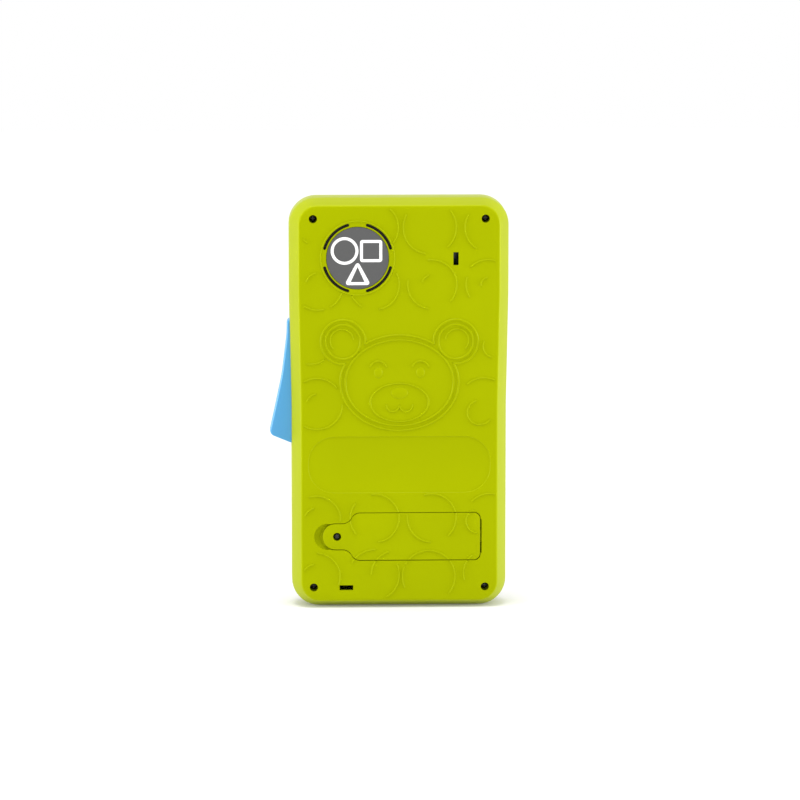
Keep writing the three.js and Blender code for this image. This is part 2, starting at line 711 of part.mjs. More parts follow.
// A key: a cap with a bevelled edge on a flange that the face plate holds in.
function key(x, z) {
  const bevel = 0.8;
  const inner = keyWindow(x, z, -bevel);
  const cap = new THREE.ExtrudeGeometry(inner, {
    depth: KEY_TOP - KEY_BACK - 2 * bevel,
    bevelThickness: bevel,
    bevelSize: bevel,
    bevelSegments: 1,
    curveSegments: 2,
  });
  cap.rotateX(Math.PI / 2).translate(0, KEY_TOP - bevel, 0);
  return join(solid(cap), prism(keyWindow(x, z, KEY_FLANGE), KEY_BACK, KEY_FLANGE_FRONT));
}

function homeButton() {
  const { x, z, r } = HOME;
  return turned(x, z, [
    [0, KEY_BACK], [r + KEY_FLANGE, KEY_BACK], [r + KEY_FLANGE, KEY_FLANGE_FRONT],
    [r, KEY_FLANGE_FRONT], [r, KEY_TOP - 1], [r - 1, KEY_TOP - 0.2], [r - 3, KEY_TOP],
    [0, KEY_TOP],
  ]);
}

function powerSlider() {
  const { x, z } = SLIDER;
  return join(
    block(x - 4, x + 4, PLATE.front + GAP, KEY_TOP, z - 4.5, z + 4.5),
    block(x - 2.5, x + 2.5, 8.9, PLATE.front + 0.5, z - 1.7, z + 1.7),
    block(x - 3.6, x + 3.6, 9.6, 10.7, z - 3.6, z + 3.6),
  );
}

// A rubber sheet with a dome under every key.
function keyMembrane() {
  const back = BOARD.front + GAP;
  const sheet = join(
    block(-39, 39, back, back + 1.2, 47, 124),
    block(-12, 12, back, back + 1.2, 19, 48),
  );
  const domes = [...keyPlaces(), HOME].map(({ x, z }) => turned(x, z, [
    [0, back + 1], [6, back + 1], [4.5, KEY_BACK - GAP], [0, KEY_BACK - GAP],
  ], 12));
  return join(sheet, ...domes);
}

// An open frame that parts the light behind the screen into three cells.
function lightBox() {
  const walls = 1.5;
  const frame = panel(LENS, 0, BOARD.front + GAP, 9);
  const cells = [-1, 0, 1].map((column) => {
    const width = (2 * LENS.halfWidth - 4 * walls) / 3;
    const middle = column * (width + walls);
    return block(middle - width / 2, middle + width / 2, 4, 10, LENS.low + walls, LENS.high - walls);
  });
  return cut(frame, ...cells);
}

function led(x, z) {
  const back = BOARD.front + GAP;
  return turned(x, z, [
    [0, back], [2.8, back], [2.8, back + 0.8], [2.4, back + 0.8], [2.4, back + 1.6],
    [1.6, back + 2.7], [0, back + 3],
  ], 12);
}

function mainBoard() {
  const holes = POSTS.map(({ x, z }) => rod(x, z, 1.5, BOARD.back - 1, BOARD.front + 1));
  return cut(panel(BOARD, 0, BOARD.back, BOARD.front), ...holes);
}

// ---- Wires: each leaves one solder point and ends at the back of the main board ----

const BOARD_PAD = BOARD.back - 0.4;
const WIRE_ROUTES = {
  battery_wire_negative: [
    [-16.8, 2.4, 30.5], [-21, 2.1, 31], [-26, 1.6, 36], [-27, 1.4, 46], [-25, 1.6, 54],
    [-24, BOARD_PAD, 56],
  ],
  battery_wire_positive: [
    [-16.8, 2.4, 41.5], [-19.5, 2.1, 43], [-21, 1.6, 48], [-20, 1.4, 54], [-18, 1.6, 58],
    [-17, BOARD_PAD, 60],
  ],
  speaker_wire_positive: [
    [-14.5, -6.5, 158], [-14, -6, 154], [-12, -3, 149], [-10, 0, 146], [-9, BOARD_PAD, 145],
  ],
  speaker_wire_negative: [
    [-12, -6.5, 159], [-11.5, -6, 155], [-8, -3, 151], [-5.5, 0, 148], [-5, BOARD_PAD, 147],
  ],
  lever_wire_signal: [
    [-40.4, -2, 102], [-37.5, -2.2, 102], [-34, -1.2, 104], [-32.5, 1, 106],
    [-32, BOARD_PAD, 107],
  ],
  lever_wire_ground: [
    [-40.4, -2, 110], [-37.5, -2.2, 110], [-34.5, -1.2, 112], [-33, 1, 114],
    [-32.5, BOARD_PAD, 115],
  ],
};

function wires() {
  for (const [name, route] of Object.entries(WIRE_ROUTES)) {
    const points = route.map((place) => new THREE.Vector3(...place));
    const finish = /positive|signal/.test(name) ? 'red' : 'black';
    piece(name, tube(new THREE.CatmullRomCurve3(points), WIRE_R, 10), finish);
  }
}

// ---- Assembly ----

piece('back_shell', backShell(), 'lime');
piece('front_shell', frontShell(), 'lime');
for (const { name, x, z } of CASE_SCREWS) {
  piece(name, screw(x, z, {
    headBack: -8.4, headFront: SCREW_SHOULDER - 0.2, headR: 1.85, shankR: 0.95, tip: 5,
  }), 'steel');
}

piece('battery_door', batteryDoor(), 'lime');
piece('battery_door_screw', screw(DOOR_SCREW.x, DOOR_SCREW.z, {
  headBack: -12.4, headFront: -10.8, headR: 1.85, shankR: 1, tip: -4.5,
}), 'steel');
batteryBay();

piece('side_lever', sideLever(), 'blue');
piece('lever_pin', rod(PIVOT.x, PIVOT.z, PIN_R, -7.3, 9.6), 'steel');
piece('lever_spring', coil(LEVER_SPRING), 'steel');
piece('lever_switch', leverSwitch(), 'black');
piece('lever_board', block(
  LEVER_BOARD_X, LEVER_BOARD_X + 1.2, -9, 8, LEVER_SWITCH_Z - 8, LEVER_SWITCH_Z + 8,
), 'board');

speaker();
[['speaker_screw_left', -RETAINER_REACH], ['speaker_screw_right', RETAINER_REACH]].forEach(
  ([name, dx]) => {
    const flipped = screw(0, 0, {
      headBack: 1.4, headFront: 2.8, headR: 2.2, shankR: 0.9, tip: 8,
    });
    piece(name, flipped.rotate([0, 0, 180]).translate([SPEAKER.x + dx, 0, SPEAKER.z]), 'steel');
  },
);

piece('face_plate', facePlate(), 'white');
piece('screen_lens', panel(LENS, 0, 9.9, 10.7), 'clear');
piece('display_card', panel(LENS, -0.5, 9.3, 9.6), 'card');
piece('light_box', lightBox(), 'white');
[['led_left', -24.2], ['led_middle', 0], ['led_right', 24.2]].forEach(([name, x]) => {
  piece(name, led(x, 162.5), 'clear');
});
piece('key_membrane', keyMembrane(), 'rubber');
keyPlaces().forEach(({ x, z }, index) => {
  piece(`app_key_${index + 1}`, key(x, z), KEY_FINISHES[index]);
});
piece('home_button', homeButton(), 'orange');
piece('power_slider', powerSlider(), 'red');
piece('slide_switch', block(
  SLIDER.x - 4.5, SLIDER.x + SLIDER.travel + 4.5, BOARD.front + GAP, 8.6,
  SLIDER.z - 3, SLIDER.z + 3,
), 'steel');

piece('main_board', mainBoard(), 'board');
for (const { name, x, z } of POSTS) {
  piece(name, screw(x, z, {
    headBack: 1.9, headFront: BOARD.back - GAP, headR: 2.4, shankR: 1, tip: 9.5,
  }), 'steel');
}
piece('chip_blob', turned(5, 100, [
  [0, 1.9], [3.5, 2.1], [5.6, 2.7], [6.4, BOARD.back - GAP], [0, BOARD.back - GAP],
]), 'black');
piece('capacitor', rod(15, 80, 2.5, -3.5, BOARD.back - GAP), 'black');
wires();

export default tablet;
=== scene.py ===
# %% [markdown]
# # A toy tablet, seen from the back
# The object is a toy tablet for small children: two lime shells screwed together, a light blue
# squeeze lever at the side, a grey speaker badge, a battery door, and keys and a screen in front.
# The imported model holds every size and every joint. This lesson gives each visible piece its
# moulded shape and its finish, and never moves what the frame holds.

# %% Load the frame
import json
import math

import bmesh
import bpy
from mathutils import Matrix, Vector


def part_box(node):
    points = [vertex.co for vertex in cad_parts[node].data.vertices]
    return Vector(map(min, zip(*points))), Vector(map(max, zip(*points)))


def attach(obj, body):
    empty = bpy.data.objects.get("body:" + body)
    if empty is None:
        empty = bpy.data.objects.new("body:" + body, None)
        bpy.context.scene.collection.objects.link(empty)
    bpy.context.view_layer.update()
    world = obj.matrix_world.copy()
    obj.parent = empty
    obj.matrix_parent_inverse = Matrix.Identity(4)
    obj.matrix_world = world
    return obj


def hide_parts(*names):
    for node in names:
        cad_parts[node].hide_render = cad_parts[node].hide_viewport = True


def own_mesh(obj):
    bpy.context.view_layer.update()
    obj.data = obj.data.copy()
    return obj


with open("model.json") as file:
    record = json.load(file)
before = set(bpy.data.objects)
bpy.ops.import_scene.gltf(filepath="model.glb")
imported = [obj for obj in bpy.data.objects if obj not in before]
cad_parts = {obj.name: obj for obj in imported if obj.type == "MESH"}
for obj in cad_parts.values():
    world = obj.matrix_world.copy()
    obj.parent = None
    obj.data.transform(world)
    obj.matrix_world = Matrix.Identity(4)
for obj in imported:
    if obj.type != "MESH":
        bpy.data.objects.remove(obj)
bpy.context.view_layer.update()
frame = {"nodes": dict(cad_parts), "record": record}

MM = 0.001

# %% [markdown]
# ## Places taken from the frame
# A moulded toy is drawn from a few planes: the back face, the plane where the shells part, and
# the front. They are read from the frame's own boxes, so a change of the model moves the looks
# with it. Lengths below are in metres, and MM turns a drawing size into metres.

# %% Planes and centres
BACK_LOW, BACK_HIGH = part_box("back_shell")
FRONT_LOW, FRONT_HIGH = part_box("front_shell")
HEIGHT = BACK_HIGH.z
RELIEF_HEIGHT = 0.5 * MM
BACK_Y = BACK_LOW.y + RELIEF_HEIGHT
FRONT_Y = FRONT_HIGH.y
WALL = 2 * MM
PAST = 1 * MM            # how far a cutter stands past what it cuts
SAME_PLACE = 0.01 * MM   # nearer than this counts as the same place
SHARP_ANGLE = math.radians(60)
HALF_TOP = BACK_HIGH.x
HALF_LOW = max(v.co.x for v in frame["nodes"]["front_shell"].data.vertices if v.co.z < HEIGHT / 3)
TAPER = (102.5 * MM, 157.5 * MM)
CORNER = 13.7 * MM
BACK_RIM = FRONT_LOW.y - 0.3 * MM
SCREWS = {name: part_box(name) for name in frame["nodes"] if name.startswith("case_screw")}


def middle(node):
    low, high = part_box(node)
    return (low + high) / 2


BADGE = middle("speaker_badge")
DOOR_SCREW = middle("battery_door_screw")
print("back face", round(BACK_Y / MM, 2), "front face", round(FRONT_Y / MM, 2), "badge", BADGE)

# %% [markdown]
# ## Camera
# The view is a straight look at the back, from a little above, through a long lens, so that the
# sides of the case stay almost parallel. The camera comes before any piece, because it settles
# how much of each piece is seen.

# %% Camera
VIEW_AZIMUTH = math.radians(-2)
VIEW_ELEVATION = math.radians(8)
VIEW_WIDTH = 0.4
LENS, SENSOR = 200, 36
distance = VIEW_WIDTH * LENS / SENSOR
aim = Vector((0.75 * MM, 0, 103 * MM))
away = Vector((
    math.sin(VIEW_AZIMUTH) * math.cos(VIEW_ELEVATION),
    -math.cos(VIEW_AZIMUTH) * math.cos(VIEW_ELEVATION),
    math.sin(VIEW_ELEVATION),
))
bpy.ops.object.camera_add(location=aim + away * distance)
camera = bpy.context.object
camera.rotation_euler = away.to_track_quat("Z", "Y").to_euler()
camera.data.lens = LENS
camera.data.sensor_width = SENSOR
camera.data.clip_end = 20
bpy.context.scene.camera = camera
print("camera distance", round(distance, 3), "m")

# %% [markdown]
# ## Floor and light
# Product pictures of toys are taken in a white tent: white all round, a pale sweep under the toy,
# one large soft light above and one at each side, a little behind the toy's face, so that they
# skim it. They stand low, so that the flat top of the case doesn't mirror them. The chamfers then
# read brighter than the face, which is what shows that there are chamfers, and low relief gets a
# bright and a dark flank. The standard view keeps a strong lime as strong as it is, where
# Blender's film-like view would fade it towards white.

# %% Floor
bpy.ops.mesh.primitive_plane_add(size=6)
floor = bpy.context.object
floor.name = "studio_floor"
bpy.context.scene.view_settings.view_transform = "Standard"


# %% Lights
LIT_POINT = Vector((0, 0, 0.1))


def softbox(name, place, size, watts):
    bpy.ops.object.light_add(type="AREA", location=place)
    light = bpy.context.object
    light.name = name
    light.data.shape = "DISK"
    light.data.size = size
    light.data.energy = watts
    light.rotation_euler = (Vector(place) - LIT_POINT).to_track_quat("Z", "Y").to_euler()


softbox("top_softbox", (-0.1, -0.25, 1.5), 0.7, 12.5)
softbox("left_softbox", (-1.3, -0.15, 0.17), 0.34, 8.6)
softbox("right_softbox", (1.3, -0.15, 0.17), 0.34, 10.2)
world = bpy.data.worlds.new("white_tent")
bpy.context.scene.world = world
world.use_nodes = True
world.node_tree.nodes["Background"].inputs["Color"].default_value = (1, 1, 1, 1)
world.node_tree.nodes["Background"].inputs["Strength"].default_value = 1.0

# %% [markdown]
# ## Colours and one node helper
# Moulded plastics are matched by eye to a colour chip, so each colour is written as a chip's hex
# value and turned to linear light by one function. Another adds a shader node with its settings
# and links, and every finish below is built with it.


# %% Colour and node helpers
def srgb(code):
    """An sRGB hex chip as linear light."""
    parts = [int(code[i:i + 2], 16) / 255 for i in (1, 3, 5)]
    linear = [c / 12.92 if c <= 0.04045 else ((c + 0.055) / 1.055) ** 2.4 for c in parts]
    return (*linear, 1)


def add_node(tree, kind, settings, links=()):
    """Adds a node: settings are its properties or its sockets' values, links its inputs."""
    made = tree.nodes.new(kind)
    for key, value in settings.items():
        if hasattr(made, str(key)):
            setattr(made, key, value)
        else:
            made.inputs[key].default_value = value
    for socket, source in dict(links).items():
        tree.links.new(source, made.inputs[socket])
    return made


def new_finish(name):
    """An empty material with its shader, and the object's own coordinates."""
    made = bpy.data.materials.new(name)
    made.use_nodes = True
    tree = made.node_tree
    place = tree.nodes.new("ShaderNodeTexCoord").outputs["Object"]
    return made, tree, tree.nodes["Principled BSDF"], place


def link_up(tree, shader, colour, shine, bump):
    """Links the last nodes of a finish to its shader."""
    tree.links.new(colour.outputs[2], shader.inputs["Base Color"])
    tree.links.new(shine.outputs["Result"], shader.inputs["Roughness"])
    tree.links.new(bump.outputs["Normal"], shader.inputs["Normal"])


# %% [markdown]
# ## Moulded ABS
# The case, the lever and the keys are injection-moulded ABS. Its tool is spark-eroded, which
# leaves a fine even grain that spreads the shine, and slow flow of the melt leaves faint broad
# patches of colour. Hands leave slightly shinier patches. The grain on a real tool is about
# 0.1 mm across; it is drawn at 0.35 mm here, so that it shows at this picture size.

# %% Moulded ABS
ABS_IOR = 1.53
FLOW_MARK = 38 * MM
HAND_MARK = 9 * MM
SPARK_GRAIN = 0.35 * MM


def moulded_abs(name, chip, deep_chip, roughness, grain_depth=0.012 * MM):
    made, tree, shader, place = new_finish(name)
    flow = add_node(tree, "ShaderNodeTexNoise", {"Scale": 1 / FLOW_MARK, "Detail": 2.0},
                    {"Vector": place})
    colour = add_node(tree, "ShaderNodeMix", {"data_type": "RGBA", 6: srgb(chip), 7: srgb(deep_chip)},
                      {0: flow.outputs["Fac"]})
    marks = add_node(tree, "ShaderNodeTexNoise", {"Scale": 1 / HAND_MARK, "Detail": 3.0},
                     {"Vector": place})
    shine = add_node(tree, "ShaderNodeMapRange",
                     {"To Min": roughness - 0.06, "To Max": roughness + 0.06},
                     {"Value": marks.outputs["Fac"]})
    spark = add_node(tree, "ShaderNodeTexNoise", {"Scale": 1 / SPARK_GRAIN, "Detail": 3.0},
                     {"Vector": place})
    bump = add_node(tree, "ShaderNodeBump", {"Strength": 0.6, "Distance": grain_depth},
                    {"Height": spark.outputs["Fac"]})
    shader.inputs["IOR"].default_value = ABS_IOR
    link_up(tree, shader, colour, shine, bump)
    return made


FINISHES = {
    "lime_abs": moulded_abs("lime_moulded_abs", "#9ea900", "#98a200", 0.42),
    "blue_abs": moulded_abs("light_blue_moulded_abs", "#4599cc", "#3f92c6", 0.34),
    "white_abs": moulded_abs("white_moulded_abs", "#eeeeea", "#e6e6e2", 0.36),
    "badge_print": moulded_abs("grey_moulded_abs", "#505050", "#4b4b4b", 0.45, 0.006 * MM),
    "black_plastic": moulded_abs("black_moulded_abs", "#1d1d1f", "#161618", 0.45),
    "red_abs": moulded_abs("red_moulded_abs", "#d8352b", "#cc2f26", 0.28),
    "yellow_abs": moulded_abs("yellow_moulded_abs", "#f6c92c", "#efc024", 0.28),
    "green_abs": moulded_abs("green_moulded_abs", "#4fae3d", "#47a336", 0.28),
    "purple_abs": moulded_abs("purple_moulded_abs", "#7f56ad", "#764ea3", 0.28),
    "orange_abs": moulded_abs("orange_moulded_abs", "#ef7f1f", "#e6761a", 0.28),
}
# Reflections on the lime are tinted lime: a painted shade in the reflection, for a darker room in front
# of the face than the white world.
REFLECTION_SHADE_TINT = "#c8d420"
lime_shader = FINISHES["lime_abs"].node_tree.nodes["Principled BSDF"]
lime_shader.inputs["Specular Tint"].default_value = srgb(REFLECTION_SHADE_TINT)
WHITE_INK = moulded_abs("white_pad_print_ink", "#fbfbf9", "#f4f4f2", 0.5, 0.004 * MM)
print("moulded finishes:", len(FINISHES) + 1)

# %% [markdown]
# ## Plated steel
# Screws, springs, contacts and the lever's pin are steel with bright zinc plating. Rolling and
# drawing leave fine lines along the metal, which stretch its highlights, and the plating turns
# slightly milky in patches. The five screw heads get a darkened steel: a painted shade for the
# shadow down in their wells. A metal's colour is its reflection, so the IOR stays as it comes.

# %% Plated steel
DRAW_LINE = 0.15 * MM
MILKY_PATCH = 2.5 * MM


def plated_steel(name, chip, deep_chip, roughness):
    made, tree, shader, place = new_finish(name)
    stretched = add_node(tree, "ShaderNodeMapping", {"Scale": (1, 1, 0.08)}, {"Vector": place})
    lines = add_node(tree, "ShaderNodeTexNoise", {"Scale": 1 / DRAW_LINE, "Detail": 2.0},
                     {"Vector": stretched.outputs["Vector"]})
    patches = add_node(tree, "ShaderNodeTexNoise", {"Scale": 1 / MILKY_PATCH, "Detail": 3.0},
                       {"Vector": place})
    colour = add_node(tree, "ShaderNodeMix",
                      {"data_type": "RGBA", 6: srgb(chip), 7: srgb(deep_chip)},
                      {0: patches.outputs["Fac"]})
    shine = add_node(tree, "ShaderNodeMapRange", {"To Min": roughness, "To Max": roughness + 0.2},
                     {"Value": patches.outputs["Fac"]})
    bump = add_node(tree, "ShaderNodeBump", {"Strength": 0.35, "Distance": 0.01 * MM},
                    {"Height": lines.outputs["Fac"]})
    shader.inputs["Metallic"].default_value = 1
    link_up(tree, shader, colour, shine, bump)
    return made


FINISHES["plated_steel"] = plated_steel("zinc_plated_steel", "#d4d6d8", "#b3b6b9", 0.2)
# Darkened steel for the screw heads: a painted shade for the shadow in their wells.
SCREW_SHADE_STEEL = plated_steel("screw_steel_darkened_for_well_shade", "#5c5d5c", "#484948", 0.4)
print("steel:", FINISHES["plated_steel"].name, SCREW_SHADE_STEEL.name)

# %% [markdown]
# ## Clear, soft and printed finishes
# The screen's lens and the lamps are clear polystyrene, moulded in a polished tool. The key
# membrane is milky silicone rubber, which light enters a little way. The picture card is coated
# board. They share one shape of node tree, a colour broken by noise with a fine bump, so one
# function makes them, and each one's own numbers make it look like what it is.


# %% Other finishes
def mottled(name, chip, deep_chip, patch, roughness, bump_size, bump_depth, sockets):
    """Patches of two tones and a fine relief, sizes in mm; sockets sets the shader's own values."""
    made, tree, shader, place = new_finish(name)
    patches = add_node(tree, "ShaderNodeTexNoise", {"Scale": 1 / (patch * MM), "Detail": 4.0},
                       {"Vector": place})
    colour = add_node(tree, "ShaderNodeMix", {"data_type": "RGBA", 6: srgb(chip), 7: srgb(deep_chip)},
                      {0: patches.outputs["Fac"]})
    relief = add_node(tree, "ShaderNodeTexNoise", {"Scale": 1 / (bump_size * MM), "Detail": 3.0},
                      {"Vector": place})
    bump = add_node(tree, "ShaderNodeBump", {"Strength": 0.5, "Distance": bump_depth * MM},
                    {"Height": relief.outputs["Fac"]})
    shine = add_node(tree, "ShaderNodeMapRange",
                     {"To Min": roughness * 0.85, "To Max": roughness * 1.15},
                     {"Value": relief.outputs["Fac"]})
    link_up(tree, shader, colour, shine, bump)
    for socket, value in sockets.items():
        shader.inputs[socket].default_value = value
    return made


# Each row: name, two chips, patch, roughness, bump size and depth, the shader's own values.
MOTTLED = {
    "clear_styrene": ("clear_polished_polystyrene", "#f2f7f8", "#e9f2f4", 20, 0.05, 6, 0.01,
                      {"Transmission Weight": 1.0, "IOR": 1.59}),
    "silicone": ("milky_silicone_rubber", "#dcdcd6", "#cfcfc9", 6, 0.55, 0.3, 0.01,
                 {"Subsurface Weight": 0.25, "Subsurface Scale": 0.002}),
    "printed_card": ("coated_picture_card", "#bfe3f4", "#b3dcf0", 15, 0.35, 0.4, 0.004, {}),
    "green_laminate": ("solder_masked_laminate", "#1d6b34", "#175a2b", 1.5, 0.3, 0.5, 0.02,
                       {"Coat Weight": 0.4}),
    "paper_cone": ("pressed_paper_pulp", "#3a352f", "#2c2823", 1.2, 0.85, 0.25, 0.05, {}),
    "cell_wrap": ("shrink_film_over_steel", "#31415c", "#28364f", 8, 0.22, 2, 0.02,
                  {"Coat Weight": 0.3}),
    "red_wire": ("red_pvc_insulation", "#c4271f", "#ad211a", 3, 0.4, 0.3, 0.01, {}),
    "black_wire": ("black_pvc_insulation", "#1a1a1b", "#121213", 3, 0.4, 0.3, 0.01, {}),
}
for slot_name, values in MOTTLED.items():
    FINISHES[slot_name] = mottled(*values)
missing = {row["slot"] for row in frame["record"]["materials"]} - set(FINISHES)
print("finishes:", len(FINISHES), "slots with none:", missing)

# %% [markdown]
# ## Paper sweep
# The floor is a roll of matt paper. It is painted a little greyer under the toy than far off:
# a painted shade round the toy, which also sends less light up into the face. A trace of its own
# light stands for the lamps that a studio puts behind such a roll, and it takes the far end to a
# plain white with no horizon.

# %% Paper sweep
SWEEP_REACH = 1.6
sweep, tree, shader, place = new_finish("matt_paper_sweep")
scaled = add_node(tree, "ShaderNodeMapping", {"Scale": [1 / SWEEP_REACH] * 3}, {"Vector": place})
near = add_node(tree, "ShaderNodeTexGradient", {"gradient_type": "SPHERICAL"},
                {"Vector": scaled.outputs["Vector"]})
# Darker chip near the toy: a painted shade round the toy, which also cuts the light sent up into the
# face.
paper = add_node(tree, "ShaderNodeMix", {"data_type": "RGBA", 6: srgb("#f4f4f4"), 7: srgb("#dcdcdc")},
                 {0: near.outputs["Fac"]})
tree.links.new(paper.outputs[2], shader.inputs["Base Color"])
shader.inputs["Roughness"].default_value = 0.9
shader.inputs["Emission Color"].default_value = srgb("#ffffff")
shader.inputs["Emission Strength"].default_value = 0.1
floor.data.materials.append(sweep)
print("floor finish:", sweep.name)

# %% [markdown]
# ## Modelling helpers
# A person in front of Blender picks faces by eye and presses a key. Here the picking is done by a
# small test on place or normal, and everything else is the same operator. Each operator acts on
# all that is selected, so the helpers clear the selection first.


# %% Selection helpers
def deselect_all():
    if bpy.context.object and bpy.context.object.mode != "OBJECT":
        bpy.ops.object.mode_set(mode="OBJECT")
    bpy.ops.object.select_all(action="DESELECT")


def activate(piece):
    deselect_all()
    piece.select_set(True)
    bpy.context.view_layer.objects.active = piece


def open_edit(piece, mode, start="DESELECT"):
    """Opens a piece for editing; start="SELECT" begins with all of it selected."""
    activate(piece)
    bpy.ops.object.mode_set(mode="EDIT")
    bpy.ops.mesh.select_mode(type=mode)
    bpy.ops.mesh.select_all(action=start)


def pick(piece, kind, test):
    """Selects the vertices, edges or faces that pass a test, in edit mode."""
    mesh = bmesh.from_edit_mesh(piece.data)
    for item in getattr(mesh, kind):
        item.select_set(test(item))
    mesh.select_flush_mode()
    bmesh.update_edit_mesh(piece.data)


def close_edit():
    bpy.ops.object.mode_set(mode="OBJECT")


def settle(piece, name=None):
    """Moves a piece's place into its mesh, so that its object sits at the origin."""
    activate(piece)
    bpy.ops.object.transform_apply(location=True, rotation=True, scale=True)
    piece.name = name or piece.name
    return piece


def face_outwards(piece):
    open_edit(piece, "FACE", "SELECT")
    bpy.ops.mesh.remove_doubles(threshold=0.002 * MM)
    bpy.ops.mesh.normals_make_consistent(inside=False)
    close_edit()
    return piece


def use_modifier(piece, kind, **settings):
    activate(piece)
    modifier = piece.modifiers.new(kind.lower(), kind)
    for key, value in settings.items():
        setattr(modifier, key, value)
    bpy.ops.object.modifier_apply(modifier=modifier.name)


def merge_pieces(pieces, name=None):
    """Joins pieces into the first one."""
    deselect_all()
    for piece in pieces:
        piece.select_set(True)
    bpy.context.view_layer.objects.active = pieces[0]
    if len(pieces) > 1:
        bpy.ops.object.join()
    pieces[0].name = name or pieces[0].name
    return pieces[0]


def combine(piece, operation, *tools):
    """Cuts, joins or crops a piece with tool solids, which are used up."""
    tool = merge_pieces(list(tools))
    use_modifier(piece, "BOOLEAN", object=tool, operation=operation, solver="EXACT",
                 use_self=len(tools) > 1)
    bpy.data.objects.remove(tool)
    return piece


def round_edges(piece, width, segments):
    use_modifier(piece, "BEVEL", width=width, segments=segments, limit_method="ANGLE",
                 angle_limit=SHARP_ANGLE)
    return piece


def bevel_at(piece, y, width, segments=3):
    """Bevels the edges that lie at a height y."""
    open_edit(piece, "EDGE")
    pick(piece, "edges", lambda edge: all(abs(v.co.y - y) < SAME_PLACE for v in edge.verts))
    bpy.ops.mesh.bevel(offset=width, segments=segments, affect="EDGES")
    close_edit()
    return piece


def copy_of(piece, name):
    twin = piece.copy()
    twin.data = piece.data.copy()
    twin.name = name
    bpy.context.scene.collection.objects.link(twin)
    return twin


def close_seams(piece):
    """Welds the hairline gaps that a cut can leave, and fills any that stay open."""
    open_edit(piece, "VERT")
    bpy.ops.mesh.select_non_manifold()
    bpy.ops.mesh.remove_doubles(threshold=SAME_PLACE)
    bpy.ops.mesh.select_all(action="DESELECT")
    bpy.ops.mesh.select_non_manifold()
    bpy.ops.mesh.fill_holes(sides=8)
    close_edit()
    return piece


def finish_piece(piece, body, slot, *nodes, material=None, smooth=35):
    """Gives a piece its shading, finish and body, and hides the nodes it stands for; the slot's own
    finish if none is given.
    """
    close_seams(piece)
    activate(piece)
    bpy.ops.object.shade_smooth_by_angle(angle=math.radians(smooth))
    piece.data.materials.clear()
    piece.data.materials.append(material or FINISHES[slot])
    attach(piece, body)
    if nodes:
        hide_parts(*nodes)
    loose = sum(edge.is_loose for edge in piece.data.edges)
    print(f"{piece.name}: {len(piece.data.polygons)} faces, {loose} loose edges, on {body}")
    return piece


# %% Shape helpers
def block(low, high, name="block"):
    """A box between two corners."""
    low, high = Vector(low), Vector(high)
    bpy.ops.mesh.primitive_cube_add(size=1, location=(low + high) / 2)
    bpy.context.object.scale = high - low
    return settle(bpy.context.object, name)


def rod(x, z, radius, y0, y1, sides=48, name="rod"):
    """A round bar along Y."""
    bpy.ops.mesh.primitive_cylinder_add(vertices=sides, radius=radius, depth=y1 - y0,
                                        location=(x, (y0 + y1) / 2, z), rotation=(math.pi / 2, 0, 0))
    return settle(bpy.context.object, name)


def bar_x(x0, x1, y, z, radius, name):
    """A round bar along X."""
    bpy.ops.mesh.primitive_cylinder_add(vertices=64, radius=radius, depth=x1 - x0,
                                        location=((x0 + x1) / 2, y, z), rotation=(0, math.pi / 2, 0))
    return settle(bpy.context.object, name)


def flat_outline(corners, y, name="outline", steps=8):
    """A flat face in X and Z from corners (x, z, rounding), each rounded by a vertex bevel."""
    bpy.ops.mesh.primitive_circle_add(vertices=len(corners), radius=0.01, fill_type="NGON",
                                      rotation=(math.pi / 2, 0, 0))
    made = settle(bpy.context.object, name)
    for vertex, (x, z, _) in zip(made.data.vertices, corners):
        vertex.co = (x, y, z)
    for i, (x, z, rounding) in enumerate(corners):
        if rounding <= 0:
            continue
        here = Vector((x, z))
        arms = [Vector(corners[j % len(corners)][:2]) - here for j in (i - 1, i + 1)]
        reach = min(rounding / math.tan(arms[0].angle(arms[1]) / 2),
                    0.499 * min(arm.length for arm in arms))
        open_edit(made, "VERT")
        pick(made, "verts", lambda v: (v.co - Vector((x, y, z))).length < 1e-6)
        bpy.ops.mesh.bevel(offset_type="OFFSET", offset=reach, segments=steps, affect="VERTICES")
        close_edit()
    return made


def raise_to(piece, y):
    """Extrudes a flat outline along Y into a closed solid that ends at y."""
    start = piece.data.vertices[0].co.y
    open_edit(piece, "FACE", "SELECT")
    bpy.ops.mesh.extrude_region_move(TRANSFORM_OT_translate={"value": (0, y - start, 0)})
    close_edit()
    return face_outwards(piece)


def slab(corners, y0, y1, name="slab", steps=8):
    return raise_to(flat_outline(corners, y0, name, steps), y1)


def from_mm(corners):
    return [(x * MM, z * MM, r * MM) for x, z, r in corners]


def rounded_rectangle(x0, x1, z0, z1, rounding):
    return [(x1, z0, rounding), (x1, z1, rounding), (x0, z1, rounding), (x0, z0, rounding)]


def end_face(piece, direction, y):
    """Selects the faces at a height y that look along +Y or -Y, in edit mode."""
    pick(piece, "faces", lambda f: f.normal.y * direction > 0.99
         and abs(f.calc_center_median().y - y) < SAME_PLACE)


def taper_end(piece, direction, y, thickness, depth):
    """Insets the end face at y, and moves it on by depth, which makes a chamfered end."""
    open_edit(piece, "FACE")
    end_face(piece, direction, y)
    bpy.ops.mesh.inset(thickness=thickness, depth=depth, use_even_offset=True)
    close_edit()
    return piece


print("helpers ready")

# %% [markdown]
# ## Back shell: the outer body
# The back of a moulded toy is one thin tray. It could be carved out of a cube, but the mould
# maker's own order is shorter: draw the outline once, extrude the side wall, inset the end face
# while it moves back, which makes the chamfer, then round the two long edges. The same steps with
# smaller numbers make the hollow, so the wall comes out even.

# %% Case outline
CHAMFER_Y = -5 * MM
CHAMFER_X = 4.8 * MM
CHAMFER_Z = 3.6 * MM
CHAMFER = (CHAMFER_X + CHAMFER_Z) / 2


